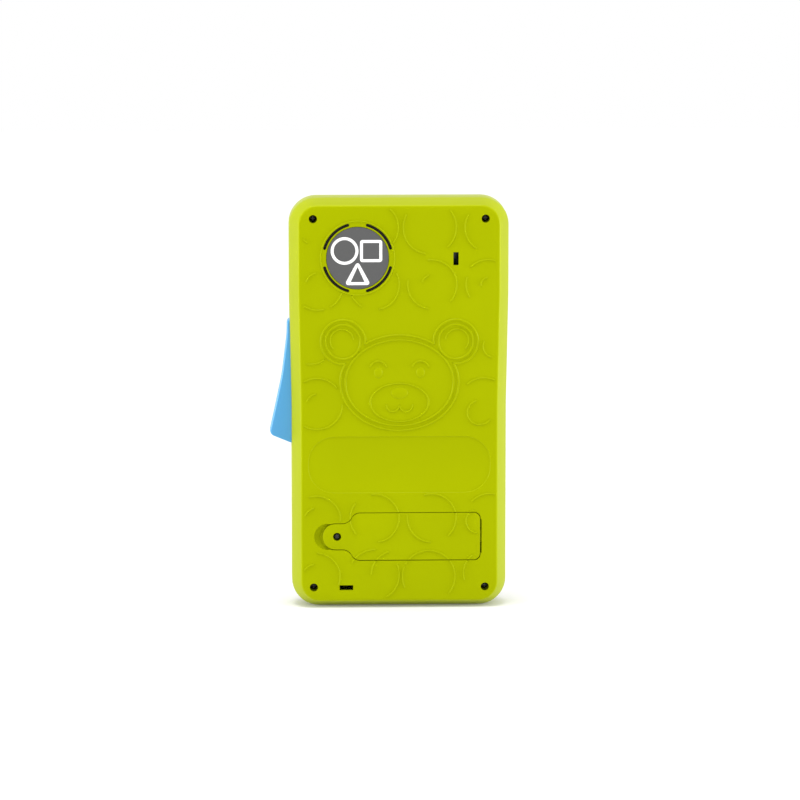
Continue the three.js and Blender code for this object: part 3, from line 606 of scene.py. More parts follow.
def case_corners(inset=0):
    low, high, top = HALF_LOW - inset, HALF_TOP - inset, HEIGHT - inset
    r = CORNER - inset
    right = [(low, inset, r), (low, TAPER[0], 60 * MM), (high, TAPER[1], 60 * MM), (high, top, r)]
    return right + [(-x, z, rounding) for x, z, rounding in reversed(right)]


def tray(inset, rim, chamfer_y, back_y, name):
    """A closed body: the outline, a straight side wall, and a chamfer up to a flat back."""
    made = slab(case_corners(inset), rim, chamfer_y, name, steps=10)
    taper_end(made, -1, chamfer_y, CHAMFER, chamfer_y - back_y)
    open_edit(made, "FACE")
    end_face(made, -1, back_y)
    wide, tall = HALF_TOP - inset, HEIGHT / 2 - inset
    bpy.ops.transform.resize(value=((wide - CHAMFER_X) / (wide - CHAMFER), 1,
                                    (tall - CHAMFER_Z) / (tall - CHAMFER)),
                             center_override=(0, back_y, HEIGHT / 2))
    close_edit()
    return made


back_skin = tray(0, BACK_RIM, CHAMFER_Y, BACK_Y, "back_shell_skin")
bevel_at(back_skin, BACK_Y, 0.8 * MM, segments=4)
bevel_at(back_skin, CHAMFER_Y, 1.2 * MM, segments=4)
FLOOR_Y = BACK_Y + WALL
back_hollow = tray(WALL, BACK_RIM + PAST, CHAMFER_Y + 0.5 * MM, FLOOR_Y, "back_hollow")
inner_body = copy_of(back_hollow, "inner_body")
combine(back_skin, "DIFFERENCE", back_hollow)
print("skin volume tools ready:", len(back_skin.data.polygons), "faces")

# %% [markdown]
# ## Back shell: bubbles in low relief
# The face is covered with big soap bubbles, drawn as thin raised lines 0.45 mm high. In the tool
# they are shallow grooves from a round-nosed cutter, so each line has a rounded top. A flattened
# circle is spun round each bubble's centre through the part of the circle that shows, as a
# pencil would be, and short inner strokes stand for the light on the bubble.

# %% Relief lines
LINE_WIDTH = 0.8 * MM
LINE_HEIGHT = 0.45 * MM
LINE_SIDES = 10
ARC_STEP = 7


def relief_arc(x, z, radius, start, end, width=LINE_WIDTH, height=LINE_HEIGHT):
    """A raised line along an arc on the back face; angles in degrees, anticlockwise from +X."""
    angle = math.radians(start)
    out = Vector((math.cos(angle), 0, math.sin(angle)))
    bpy.ops.mesh.primitive_circle_add(vertices=LINE_SIDES, radius=1, fill_type="NGON",
                                      location=Vector((x, BACK_Y, z)) + out * radius)
    section = bpy.context.object
    section.scale = (width / 2, height, 1)
    section.rotation_euler = (0, -angle, 0)
    settle(section, "relief_line")
    open_edit(section, "FACE", "SELECT")
    bpy.ops.mesh.spin(steps=max(3, round((end - start) / ARC_STEP)), angle=math.radians(end - start),
                      center=(x, BACK_Y, z), axis=(0, 1, 0))
    close_edit()
    return face_outwards(section)


# Each bubble: its centre in mm, then (radius, start, end) of the arcs that show.
BUBBLES = [
    (-40.4, 190.9, [(9, 170, 235)]),
    (-12.4, 190.9, [(12, -50, 50), (3, 130, 190)]),
    (15, 190.9, [(13.2, 150, 262), (13.2, -48, 40)]),
    (44.6, 190.9, [(12.2, 148, 240)]),
    (-40.4, 162.4, [(12.5, -62, -14), (12.5, 228, 285), (6, 100, 165)]),
    (-12.4, 162.4, [(12.4, -80, 28), (12.4, 205, 240)]),
    (16.1, 162.4, [(12.4, -42, 100), (12, 168, 262), (5, 105, 165)]),
    (44, 162.4, [(12.4, 60, 135), (11, 160, 215), (3.5, 95, 190)]),
    (-44, 133.9, [(11, 258, 330)]),
    (47, 131.5, [(5.5, 150, 262), (14, 172, 205)]),
    (-41, 103, [(12.8, -124, 122), (5, 95, 165)]),
    (42, 103.2, [(12.6, 58, 132)]),
    (40, 98.4, [(6.2, 105, 325)]),
    (-41.4, 44.6, [(12, -4, 108), (6, 100, 160)]),
    (-12.4, 45.3, [(12.2, -82, 98), (12.2, 142, 222)]),
    (16.1, 45.3, [(12.2, -48, 108), (12.2, 172, 268)]),
    (45, 45.3, [(12.2, 75, 138)]),
    (39.2, 43.6, [(6, 110, 268)]),
    (-42, 15.6, [(12.4, -18, 86), (6.5, 95, 150)]),
    (-12.4, 16.4, [(12.4, -62, 28), (13, 88, 150)]),
    (-2, 16.8, [(12, 105, 180)]),
    (14.6, 15.6, [(13.2, -40, 152), (13.2, 158, 205), (13, 100, 112)]),
    (44, 17.1, [(12, 128, 196)]),
]
first_line, *other_lines = [relief_arc(x * MM, z * MM, radius * MM, start, end)
                            for x, z, arcs in BUBBLES for radius, start, end in arcs]
bubble_lines = combine(first_line, "UNION", *other_lines)
print("bubble lines:", sum(len(arcs) for _, _, arcs in BUBBLES), "arcs")

# %% [markdown]
# ## Back shell: the bear
# The bear is a plain teddy's head, the same on both sides. Its double contour is drawn with the
# same relief lines: a whole ellipse for the head with the ears' discs cut out of it, and a whole
# circle for each ear with the head's disc cut out. Muzzle, eyes and mouth are lines too, and the
# nose and pupils are low buttons.

# %% Bear
HEAD = (0, 113.5, 30, 24.5)
EAR = (28, 134, 11.6)
CONTOURS = (0.6, 3.0)
CONTOUR_WIDTH = 1.1 * MM
BEAR_HEIGHT = 0.48 * MM
ABOVE, BELOW = BACK_Y - 3 * MM, BACK_Y + 3 * MM


def stretched(piece, x, z, stretch):
    """Stretches a piece along Z about a centre."""
    open_edit(piece, "VERT", "SELECT")
    bpy.ops.transform.resize(value=(1, 1, stretch), center_override=(x * MM, BACK_Y, z * MM))
    close_edit()
    return piece


def bear_oval(x, z, wide, tall, width=LINE_WIDTH, start=0, end=359.9):
    """A relief line along an ellipse: an arc stretched along Z."""
    line = relief_arc(x * MM, z * MM, wide * MM, start, end, width, BEAR_HEIGHT)
    return stretched(line, x, z, tall / wide)


def bear_disc(x, z, wide, tall):
    return stretched(rod(x * MM, z * MM, wide * MM, ABOVE, BELOW, 96), x, z, tall / wide)


def bear_contour(inset):
    """The outline of head and ears as relief lines, moved in by inset."""
    x, z, wide, tall = HEAD
    ear_x, ear_z, ear_r = EAR
    wide, tall, ear_r = wide - inset, tall - inset, ear_r - inset
    head = combine(bear_oval(x, z, wide, tall, CONTOUR_WIDTH), "DIFFERENCE",
                   *(bear_disc(side * ear_x, ear_z, ear_r, ear_r) for side in (-1, 1)))
    ears = [combine(bear_oval(side * ear_x, ear_z, ear_r, ear_r, CONTOUR_WIDTH), "DIFFERENCE",
                    bear_disc(x, z, wide, tall)) for side in (-1, 1)]
    return [head, *ears]


def bear_dome(x, z, wide, tall):
    """A low raised button for the nose or an eye."""
    bpy.ops.mesh.primitive_uv_sphere_add(segments=32, ring_count=16, radius=1,
                                         location=(x * MM, BACK_Y, z * MM))
    bpy.context.object.scale = (wide * MM, BEAR_HEIGHT, tall * MM)
    return settle(bpy.context.object, "bear_dome")


bear_parts = [
    *(part for inset in CONTOURS for part in bear_contour(inset)),
    bear_oval(28.6, 134.6, 5.8, 5.8, start=-45, end=175),
    bear_oval(-28.6, 134.6, 5.8, 5.8, start=5, end=225),
    bear_oval(0, 103.6, 14.5, 9.6, width=1 * MM),
    bear_dome(0, 108.4, 4.2, 2.9),
    bear_oval(-3.3, 102.6, 3.3, 3.6, start=180, end=352),
    bear_oval(3.3, 102.6, 3.3, 3.6, start=188, end=360),
    *(part for side in (-1, 1) for part in (
        bear_dome(side * 10.5, 118.6, 2.1, 2.7),
        bear_oval(side * 10.5, 119.2, 4.6, 5.2, start=25, end=155))),
]
bear_lines = combine(bear_parts[0], "UNION", *bear_parts[1:])
print("bear faces:", len(bear_lines.data.polygons))

# %% [markdown]
# ## Back shell: where the relief stops
# The bubbles run behind the bear, the speaker and the label recess, and over the battery door.
# So they are trimmed with those shapes, and split along the door's outline: one part joins the
# shell, the other is kept for the door.

# %% Door outline and trimming
DOOR_MID = DOOR_SCREW.z
DOOR_HALF = 11.9 * MM
DOOR_RIGHT = 40.3 * MM
LOBE = 6.5 * MM
DOOR_GAP = 0.3 * MM
LABEL_CORNERS = rounded_rectangle(-45.4 * MM, 45.4 * MM, 58.1 * MM, 86.5 * MM, 13 * MM)
LABEL_DEPTH = 0.4 * MM
FACE_EDGE = 1.2 * MM
BEAR_MARGIN = 1.2
RING_MARGIN = 19 * MM


def door_corners(grow):
    """A round lobe over the screw, a short neck, and a wide panel over the cells."""
    left, right = DOOR_SCREW.x - 0.6 * MM - LOBE - grow, DOOR_RIGHT + grow
    bend = DOOR_SCREW.x + 7.15 * MM
    neck, half = LOBE + grow, DOOR_HALF + grow
    lower = [(left, -neck, neck), (bend - 1.6 * MM, -neck, 4.5 * MM),
             (bend + 1.6 * MM, -half, 4.5 * MM), (right, -half, 3.2 * MM)]
    return [(x, DOOR_MID + z, r) for x, z, r in lower] + \
        [(x, DOOR_MID - z, r) for x, z, r in reversed(lower)]


face_area = slab(rounded_rectangle(
    -HALF_LOW + CHAMFER_X + FACE_EDGE, HALF_LOW - CHAMFER_X - FACE_EDGE,
    CHAMFER_Z + FACE_EDGE, HEIGHT - CHAMFER_Z - FACE_EDGE, 8 * MM), ABOVE, BELOW, "face_area")
combine(bubble_lines, "INTERSECT", face_area)
combine(bubble_lines, "DIFFERENCE",
        bear_disc(HEAD[0], HEAD[1], HEAD[2] + BEAR_MARGIN, HEAD[3] + BEAR_MARGIN),
        *(bear_disc(side * EAR[0], EAR[1], EAR[2] + BEAR_MARGIN, EAR[2] + BEAR_MARGIN)
          for side in (-1, 1)),
        rod(BADGE.x, BADGE.z, RING_MARGIN, ABOVE, BELOW, 64),
        slab([(x * 1.012, z, r) for x, z, r in LABEL_CORNERS], ABOVE, BELOW))
door_relief = copy_of(bubble_lines, "door_relief")
combine(door_relief, "INTERSECT", slab(door_corners(-0.3 * MM), ABOVE, BELOW))
combine(bubble_lines, "DIFFERENCE", slab(door_corners(DOOR_GAP + 0.25 * MM), ABOVE, BELOW))
print("shell relief:", len(bubble_lines.data.polygons), "door relief:", len(door_relief.data.polygons))

# %% Relief onto the shell
speaker_ring = relief_arc(BADGE.x, BADGE.z, 18.4 * MM, 0, 359.9, width=0.7 * MM)
combine(back_skin, "UNION", bubble_lines, bear_lines, speaker_ring)
print("shell with relief:", len(back_skin.data.polygons), "faces")

# %% [markdown]
# ## Back shell: openings
# In the tool these are pins and cores that stand through the plastic: the screw wells, four arc
# slots round the speaker, the badge's shallow seat, two latch slots, the door's recess, the
# finger scoop beside it, and the side opening for the lever. Each core is a small solid here, and
# a cut takes them out of the skin. The wall gets a thick pad first where the scoop goes
# deepest. The label's recess has a rounded floor edge, so that its rim reads as a dark line above
# and a bright one below.

# %% Cores
OUTSIDE_Y = BACK_Y - PAST
DEEP_Y = FLOOR_Y + PAST
SLOT_ANGLES = (45, 135, 225, 315)
SLOT_RADIUS = 17 * MM
SLOT_WIDTH = 1.5 * MM
SLOT_HALF_ANGLE = 28.5
WELL_RADIUS = 2.05 * MM
WELL_FLOOR_Y = -6.5 * MM
SEAT_RADIUS, SEAT_DEPTH = 15.65 * MM, 0.7 * MM
HINGE_LOW_Z, HINGE_HIGH_Z, HINGE_ROOM = 27.5 * MM, 44.5 * MM, 0.8 * MM
MOUTH_INNER_X, MOUTH_LOW_Z, MOUTH_ROOM = -50.5 * MM, 81.5 * MM, 0.4 * MM
LATCH_SLOTS = [(28.05, 175.3, 2.6, 6.5), (-26.5, 10.2, 6.8, 2.5)]
LEVER_LOW, LEVER_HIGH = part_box("side_lever")


def arc_core(middle_angle):
    """A slot bent round the speaker, with round ends."""
    start = math.radians(middle_angle - SLOT_HALF_ANGLE)
    out = Vector((math.cos(start), 0, math.sin(start)))
    bpy.ops.mesh.primitive_plane_add(size=1, location=BADGE + out * SLOT_RADIUS)
    section = bpy.context.object
    section.scale = (SLOT_WIDTH, 5 * MM, 1)
    section.rotation_euler = (0, -start, 0)
    settle(section, "arc_core")
    open_edit(section, "FACE", "SELECT")
    bpy.ops.mesh.spin(steps=14, angle=math.radians(2 * SLOT_HALF_ANGLE), center=BADGE, axis=(0, 1, 0))
    close_edit()
    face_outwards(section)
    ends = []
    for sign in (-1, 1):
        angle = math.radians(middle_angle + sign * SLOT_HALF_ANGLE)
        ends.append(rod(BADGE.x + SLOT_RADIUS * math.cos(angle), BADGE.z + SLOT_RADIUS * math.sin(angle),
                        SLOT_WIDTH / 2, OUTSIDE_Y, DEEP_Y, 24))
    return [section, *ends]


def screw_wells(extra=0):
    return [rod(middle(name).x, middle(name).z, WELL_RADIUS + extra, OUTSIDE_Y, WELL_FLOOR_Y)
            for name in SCREWS]


def lever_mouth():
    """The opening that the lever swings through, with room at its edges."""
    return block((-70 * MM, LEVER_LOW.y - MOUTH_ROOM, MOUTH_LOW_Z),
                 (MOUTH_INNER_X, LEVER_HIGH.y + MOUTH_ROOM, LEVER_HIGH.z + 0.5 * MM))


def face_cores():
    cores = [core for angle in SLOT_ANGLES for core in arc_core(angle)]
    cores += [block(((x - wide / 2) * MM, OUTSIDE_Y, (z - tall / 2) * MM),
                    ((x + wide / 2) * MM, DEEP_Y, (z + tall / 2) * MM))
              for x, z, wide, tall in LATCH_SLOTS]
    return cores


badge_seat = rod(BADGE.x, BADGE.z, SEAT_RADIUS, OUTSIDE_Y, BACK_Y + SEAT_DEPTH, 96)
label_core = slab(LABEL_CORNERS, OUTSIDE_Y, BACK_Y + LABEL_DEPTH, steps=12)
bevel_at(label_core, BACK_Y + LABEL_DEPTH, 0.35 * MM, 4)
door_core = slab(door_corners(DOOR_GAP), OUTSIDE_Y, DEEP_Y, steps=10)
hinge_core = block((DOOR_RIGHT, OUTSIDE_Y, HINGE_LOW_Z),
                   (DOOR_RIGHT + HINGE_ROOM, DEEP_Y, HINGE_HIGH_Z))
SCOOP_X, SCOOP_RADIUS, SCOOP_DEPTH = DOOR_SCREW.x - 4.9 * MM, 6.6 * MM, 3 * MM
scoop_boss = rod(SCOOP_X, DOOR_SCREW.z, SCOOP_RADIUS, FLOOR_Y - 0.5 * MM, FLOOR_Y + 1.8 * MM, 48)
combine(scoop_boss, "DIFFERENCE", slab(door_corners(DOOR_GAP), OUTSIDE_Y, 0))
combine(back_skin, "UNION", scoop_boss)
bpy.ops.mesh.primitive_uv_sphere_add(segments=48, ring_count=24, radius=1,
                                     location=(SCOOP_X, BACK_Y, DOOR_SCREW.z))
bpy.context.object.scale = (SCOOP_RADIUS, SCOOP_DEPTH, SCOOP_RADIUS)
finger_scoop = settle(bpy.context.object, "finger_scoop")
for cores in (face_cores(), screw_wells(), [badge_seat], [label_core], [door_core],
              [hinge_core], [finger_scoop], [lever_mouth()]):
    combine(back_skin, "DIFFERENCE", *cores)
finish_piece(back_skin, "case", "lime_abs", "back_shell", smooth=32)

# %% [markdown]
# ## Back shell: the works inside
# Ribs, screw towers, the battery bay and the speaker's seat show through the slots and when the
# battery door is open. The frame's own node has them all, so a copy of it is merged, cropped to
# the hollow, and its screw wells are bored round.

# %% Inner works
def crop_to_inside(node, name, inside, *bores):
    works = bpy.data.objects.new(name, frame["nodes"][node].data.copy())
    bpy.context.scene.collection.objects.link(works)
    face_outwards(works)
    combine(works, "INTERSECT", inside)
    if bores:
        combine(works, "DIFFERENCE", *bores)
    return works


back_works = crop_to_inside("back_shell", "back_shell_works", inner_body, *screw_wells(0.01 * MM))
finish_piece(back_works, "case", "lime_abs", "back_shell", smooth=30)

# %% [markdown]
# ## Battery door
# The door is a flat panel with a lobe over its screw. Its outline is the shell's own door
# outline without the gap. The rim is bevelled a little, so that the gap reads as a soft dark
# line, and it carries its own part of the bubbles, which run on across the gap.

# %% Battery door
DOOR_INNER_Y = BACK_Y + 1.6 * MM
WELL_Y = -10.6 * MM
door = slab(door_corners(0), BACK_Y, DOOR_INNER_Y, "battery_door_panel", steps=10)
bevel_at(door, BACK_Y, 0.28 * MM)
combine(door, "UNION", door_relief,
        rod(DOOR_SCREW.x, DOOR_SCREW.z, 3.3 * MM, BACK_Y + 0.9 * MM, -9.2 * MM, 48))
door_works = crop_to_inside(
    "battery_door", "battery_door_tabs",
    block((36 * MM, DOOR_INNER_Y, 20 * MM), (50 * MM, 0, 52 * MM)))
combine(door, "DIFFERENCE", rod(DOOR_SCREW.x, DOOR_SCREW.z, WELL_RADIUS, OUTSIDE_Y, WELL_Y, 48))
combine(door, "DIFFERENCE", rod(DOOR_SCREW.x, DOOR_SCREW.z, 1.3 * MM, OUTSIDE_Y, -9 * MM, 32))
for piece in (door, door_works):
    finish_piece(piece, "battery_door", "lime_abs", "battery_door", smooth=32)

# %% [markdown]
# ## Screws
# The case is held by four pan-head screws deep in their wells, and the door by one that stays in
# its lobe. Their heads are turned domes with a cross pressed into them, and the cross is what
# catches the light down in the dark well. One function makes all five, each at its own place.


# %% Screws
HEAD_HEIGHT = 1.7 * MM
CROSS_DEPTH = 0.9 * MM
CROSS_HALF = 0.28 * MM


def pan_head_screw(node, name, body, shank_radius):
    """A domed head with a cross recess on a round shank, in the place of a frame node."""
    low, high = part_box(node)
    x, z, radius = (low.x + high.x) / 2, (low.z + high.z) / 2, (high.x - low.x) / 2
    shoulder = low.y + HEAD_HEIGHT
    bpy.ops.mesh.primitive_uv_sphere_add(segments=40, ring_count=20, radius=1,
                                         location=(x, shoulder, z), rotation=(math.pi / 2, 0, 0))
    bpy.context.object.scale = (radius, radius, HEAD_HEIGHT)
    made = settle(bpy.context.object, name)
    open_edit(made, "VERT", "SELECT")
    bpy.ops.mesh.bisect(plane_co=(x, shoulder, z), plane_no=(0, 1, 0), use_fill=True,
                        clear_outer=True)
    close_edit()
    face_outwards(made)
    arm = radius * 0.62
    cross = [block((x - wide, low.y - PAST, z - tall), (x + wide, low.y + CROSS_DEPTH, z + tall))
             for wide, tall in ((arm, CROSS_HALF), (CROSS_HALF, arm))]
    combine(made, "DIFFERENCE", *cross)
    combine(made, "UNION", rod(x, z, shank_radius, shoulder - 0.2 * MM, high.y, 20))
    # The head takes the darkened steel, a painted shade for its deep well.
    return finish_piece(made, body, "plated_steel", node, material=SCREW_SHADE_STEEL)


for node in SCREWS:
    pan_head_screw(node, node.replace("case_screw", "case_screw_head"), "case", 1.1 * MM)
pan_head_screw("battery_door_screw", "door_screw_head", "door_screw", 1.0 * MM)
print("screws:", len(SCREWS) + 1)

# %% [markdown]
# ## Speaker badge
# The badge is a grey disc, 30.7 mm across, pressed into its seat, with a circle, a square and a
# triangle pad-printed on it in white. Print is only as thick as ink, but a film with its own
# edge looks crisper than a mask in the material, so each outline is a very low solid.

# %% Speaker badge
BADGE_RADIUS = 15.35 * MM
BADGE_FACE = BACK_Y - 0.1 * MM
BADGE_BACK = BACK_Y + 0.4 * MM
badge = rod(BADGE.x, BADGE.z, BADGE_RADIUS, BADGE_FACE, BADGE_BACK, 128, "speaker_badge_disc")
bevel_at(badge, BADGE_FACE, 0.12 * MM)
finish_piece(badge, "case", "badge_print", "speaker_badge")

# %% Printed shapes
INK_Y = BADGE_FACE - 0.05 * MM
INK_WIDTH = 1.45 * MM


def printed_outline(outer_corners, inner_corners, steps):
    outline = slab(outer_corners, INK_Y, BADGE_FACE + 0.02 * MM, "printed_outline", steps)
    return combine(outline, "DIFFERENCE",
                   slab(inner_corners, INK_Y - PAST, BADGE_FACE + PAST, steps=steps))


def on_badge(corners):
    return [(BADGE.x + x * MM, BADGE.z + z * MM, r * MM) for x, z, r in corners]


circle_x, circle_z, circle_r = -6.45, 3.6, 6.85
printed_circle = rod(BADGE.x + circle_x * MM, BADGE.z + circle_z * MM, circle_r * MM,
                     INK_Y, BADGE_FACE + 0.02 * MM, 96)
combine(printed_circle, "DIFFERENCE",
        rod(BADGE.x + circle_x * MM, BADGE.z + circle_z * MM, circle_r * MM - INK_WIDTH,
            INK_Y - PAST, BADGE_FACE + PAST, 96))
square_x, square_z, square_half, ink = 6.7, 3.5, 5.5, INK_WIDTH / MM


def badge_square(half, rounding):
    return on_badge(rounded_rectangle(square_x - half, square_x + half, square_z - half,
                                      square_z + half, rounding))


printed_square = printed_outline(badge_square(square_half, 1.3), badge_square(square_half - ink, 0.2), 6)
apex, base, half = -1.3, -13.4, 6.6
steep = (apex - base) / half
slope = math.hypot(apex - base, half) / half
inner_half = half - ink * (slope + steep) / steep
printed_triangle = printed_outline(
    on_badge([(half, base, 1.3), (0, apex, 1.3), (-half, base, 1.3)]),
    on_badge([(inner_half, base + ink, 0.15), (0, apex - ink * slope, 0.15),
              (-inner_half, base + ink, 0.15)]), 6)
badge_print = merge_pieces([printed_circle, printed_square, printed_triangle], "speaker_badge_print")
finish_piece(badge_print, "case", "white_abs", "speaker_badge", material=WHITE_INK)

# %% [markdown]
# ## Side lever
# The light blue lever is squeezed by the child's hand. From the back it is a long blade that bows
# out from the case, wider at the foot. Its outline has eight corners, each rounded, extruded over
# the lever's depth, and its rim gets a full soft bevel, because a hand lies on it. The side that
# faces the case is open, as a moulding of even wall is, and holds the spring's seat and a
# striker for the switch. The pivot arm comes from the frame's node.

# %% Side lever
LEVER_INNER = -50.8
LEVER_CORNERS = [
    (LEVER_INNER, 144.3, 0), (-55.7, 144.3, 2.2), (-55.9, 136, 40), (-58.4, 116, 90), (-61.8, 100, 90),
    (-64.76, 86.6, 3), (-54, 82.2, 4), (LEVER_INNER, 82.2, 0),
]
HOLLOW_CORNERS = [(-49, 134, 0), (-54.1, 134, 1), (-56.5, 116, 80), (-59.9, 100, 80),
                  (-62.5, 88, 1), (-54, 84.6, 2), (-49, 84.4, 0)]
LEVER_WALL = 1.8 * MM
STRIKER_Z = 106
lever = slab(from_mm(LEVER_CORNERS), LEVER_LOW.y, LEVER_HIGH.y, "side_lever_blade", steps=10)
round_edges(lever, 1.1 * MM, segments=5)
combine(lever, "DIFFERENCE", slab(from_mm(HOLLOW_CORNERS), LEVER_LOW.y + LEVER_WALL,
                                  LEVER_HIGH.y - LEVER_WALL, steps=6))
striker = block((-57 * MM, LEVER_LOW.y + 1 * MM, (STRIKER_Z - 1.5) * MM),
                (-51.2 * MM, LEVER_HIGH.y - 1 * MM, (STRIKER_Z + 1.5) * MM))
spring_seat = bar_x(-61 * MM, -57 * MM, 1.5 * MM, 93 * MM, 3.4 * MM, "spring_seat")
combine(lever, "UNION", striker, spring_seat)
lever_works = crop_to_inside("side_lever", "side_lever_arm",
                             block((-51.4 * MM, LEVER_LOW.y - PAST, 70 * MM),
                                   (-40 * MM, LEVER_HIGH.y + PAST, 150 * MM)))
for piece in (lever, lever_works):
    finish_piece(piece, "side_lever", "blue_abs", "side_lever", smooth=40)

# %% [markdown]
# ## Front shell
# The front half has no chamfer but one full soft edge, 5 mm round, because it is the side that a
# child leans on. The outline is extruded and its front edge gets one wide bevel. The face plate
# drops into a shallow step in the front, over a wide opening for the works.

# %% Front shell
FRONT_RIM = FRONT_LOW.y
PLATE_LOW, PLATE_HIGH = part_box("face_plate")
PLATE_BACK_Y = PLATE_HIGH.y - 1.6 * MM
LEDGE_Y = PLATE_BACK_Y - 2 * MM
PLATE_ROUND = 8 * MM


def plate_area(grow, y0, y1, rounding=PLATE_ROUND):
    return slab(rounded_rectangle(PLATE_LOW.x - grow, PLATE_HIGH.x + grow,
                                  PLATE_LOW.z - grow, PLATE_HIGH.z + grow, rounding + grow), y0, y1)


front_skin = slab(case_corners(), FRONT_RIM, FRONT_Y, "front_shell_skin", steps=10)
bevel_at(front_skin, FRONT_Y, 5 * MM, segments=12)
front_hollow = slab(case_corners(WALL), FRONT_RIM - PAST, LEDGE_Y - 1.2 * MM, "front_hollow")
taper_end(front_hollow, 1, LEDGE_Y - 1.2 * MM, 2.5 * MM, 1.2 * MM)
front_inside = copy_of(front_hollow, "front_inside")
combine(front_skin, "DIFFERENCE", front_hollow)
combine(front_skin, "DIFFERENCE", plate_area(0.3 * MM, PLATE_BACK_Y - 0.3 * MM, FRONT_Y + PAST))
combine(front_skin, "DIFFERENCE", plate_area(-3 * MM, LEDGE_Y - PAST, FRONT_Y + PAST))
combine(front_skin, "DIFFERENCE", lever_mouth())
front_works = crop_to_inside("front_shell", "front_shell_works", front_inside)
for piece in (front_skin, front_works):
    finish_piece(piece, "case", "lime_abs", "front_shell", smooth=32)

# %% [markdown]
# ## Face plate
# A white plate frames the screen and the keys. Its windows are cut first and all the front edges
# are bevelled together, so that every key sits in a soft-edged well. A low raised frame keeps
# small fingers off the screen, and the posts behind it come from the frame's node.

# %% Face plate
KEY_NODES = [f"app_key_{number}" for number in range(1, 10)]
KEY_GAP = 0.3 * MM
KEY_HALF_WIDTH, KEY_HALF_HEIGHT, KEY_ROUND = 11.5 * MM, 10.5 * MM, 4 * MM
PLATE_FRONT_Y = PLATE_HIGH.y
HOME = middle("home_button")
HOME_RADIUS = 9 * MM
SLIDER_LOW, SLIDER_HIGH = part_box("power_slider")
SLIDER = (SLIDER_LOW + SLIDER_HIGH) / 2
SLIDER_TRAVEL = 7 * MM
WINDOW_LOW_Z, WINDOW_HIGH_Z = 134 * MM, 191 * MM
WINDOW_MID = (WINDOW_LOW_Z + WINDOW_HIGH_Z) / 2
WINDOW_CORNERS = rounded_rectangle(-34 * MM, 34 * MM, WINDOW_LOW_Z, WINDOW_HIGH_Z, 4 * MM)
BEZEL_RISE = 0.9 * MM


def key_corners(node, grow=0):
    centre = middle(node)
    wide, tall = KEY_HALF_WIDTH + grow, KEY_HALF_HEIGHT + grow
    return rounded_rectangle(centre.x - wide, centre.x + wide, centre.z - tall, centre.z + tall,
                             KEY_ROUND + grow)


def grown_window(across, up, rounding=1):
    return [(x * across, z + (z - WINDOW_MID) * up, r * rounding) for x, z, r in WINDOW_CORNERS]


plate = plate_area(0, PLATE_BACK_Y, PLATE_FRONT_Y)
plate.name = "face_plate_panel"
plate_cores = [slab(key_corners(node, KEY_GAP), PLATE_BACK_Y - PAST, FRONT_Y + PAST)
               for node in KEY_NODES]
plate_cores += [
    slab(WINDOW_CORNERS, PLATE_BACK_Y - PAST, FRONT_Y + PAST),
    rod(HOME.x, HOME.z, HOME_RADIUS + KEY_GAP, PLATE_BACK_Y - PAST, FRONT_Y + PAST, 64),
    block((SLIDER.x - 2.8 * MM, PLATE_BACK_Y - PAST, SLIDER.z - 2 * MM),
          (SLIDER.x + SLIDER_TRAVEL + 2.8 * MM, FRONT_Y + PAST, SLIDER.z + 2 * MM)),
]
combine(plate, "DIFFERENCE", *plate_cores)
bevel_at(plate, PLATE_FRONT_Y, 0.35 * MM)
bezel = slab(grown_window(1.06, 0.07, 1.4), PLATE_FRONT_Y - 0.5 * MM, PLATE_FRONT_Y + BEZEL_RISE)
combine(bezel, "DIFFERENCE", slab(grown_window(1.012, 0.014), PLATE_BACK_Y, FRONT_Y + 2 * MM))
bevel_at(bezel, PLATE_FRONT_Y + BEZEL_RISE, 0.5 * MM, 4)
combine(plate, "UNION", bezel)
plate_posts = crop_to_inside("face_plate", "face_plate_posts",
                             block((-0.1, 0, 0), (0.1, PLATE_BACK_Y, 0.3)))
for piece in (plate, plate_posts):
    finish_piece(piece, "case", "white_abs", "face_plate", smooth=32)

# %% [markdown]
# ## Screen
# The screen is no display but a printed picture card behind a clear lens, lit by three lamps. The
# picture is a plain one: hills, a sun and a cloud. Each colour is its own thin layer, as print
# laid over print, cropped to the card, so that the hills keep crisp edges at any distance. The
# lens is shaded flat, because smoothing would bend what is seen through it. The inks glow a
# little, as the lamps behind the card make them do.

# %% Screen
LENS_LOW, LENS_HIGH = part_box("screen_lens")
CARD_LOW, CARD_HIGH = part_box("display_card")
INK_STEP = 0.06 * MM
lens = slab(rounded_rectangle(LENS_LOW.x, LENS_HIGH.x, LENS_LOW.z, LENS_HIGH.z, 3 * MM),
            LENS_LOW.y, LENS_HIGH.y, "screen_lens_plate")
round_edges(lens, 0.2 * MM, segments=2)
finish_piece(lens, "case", "clear_styrene", "screen_lens", smooth=15)

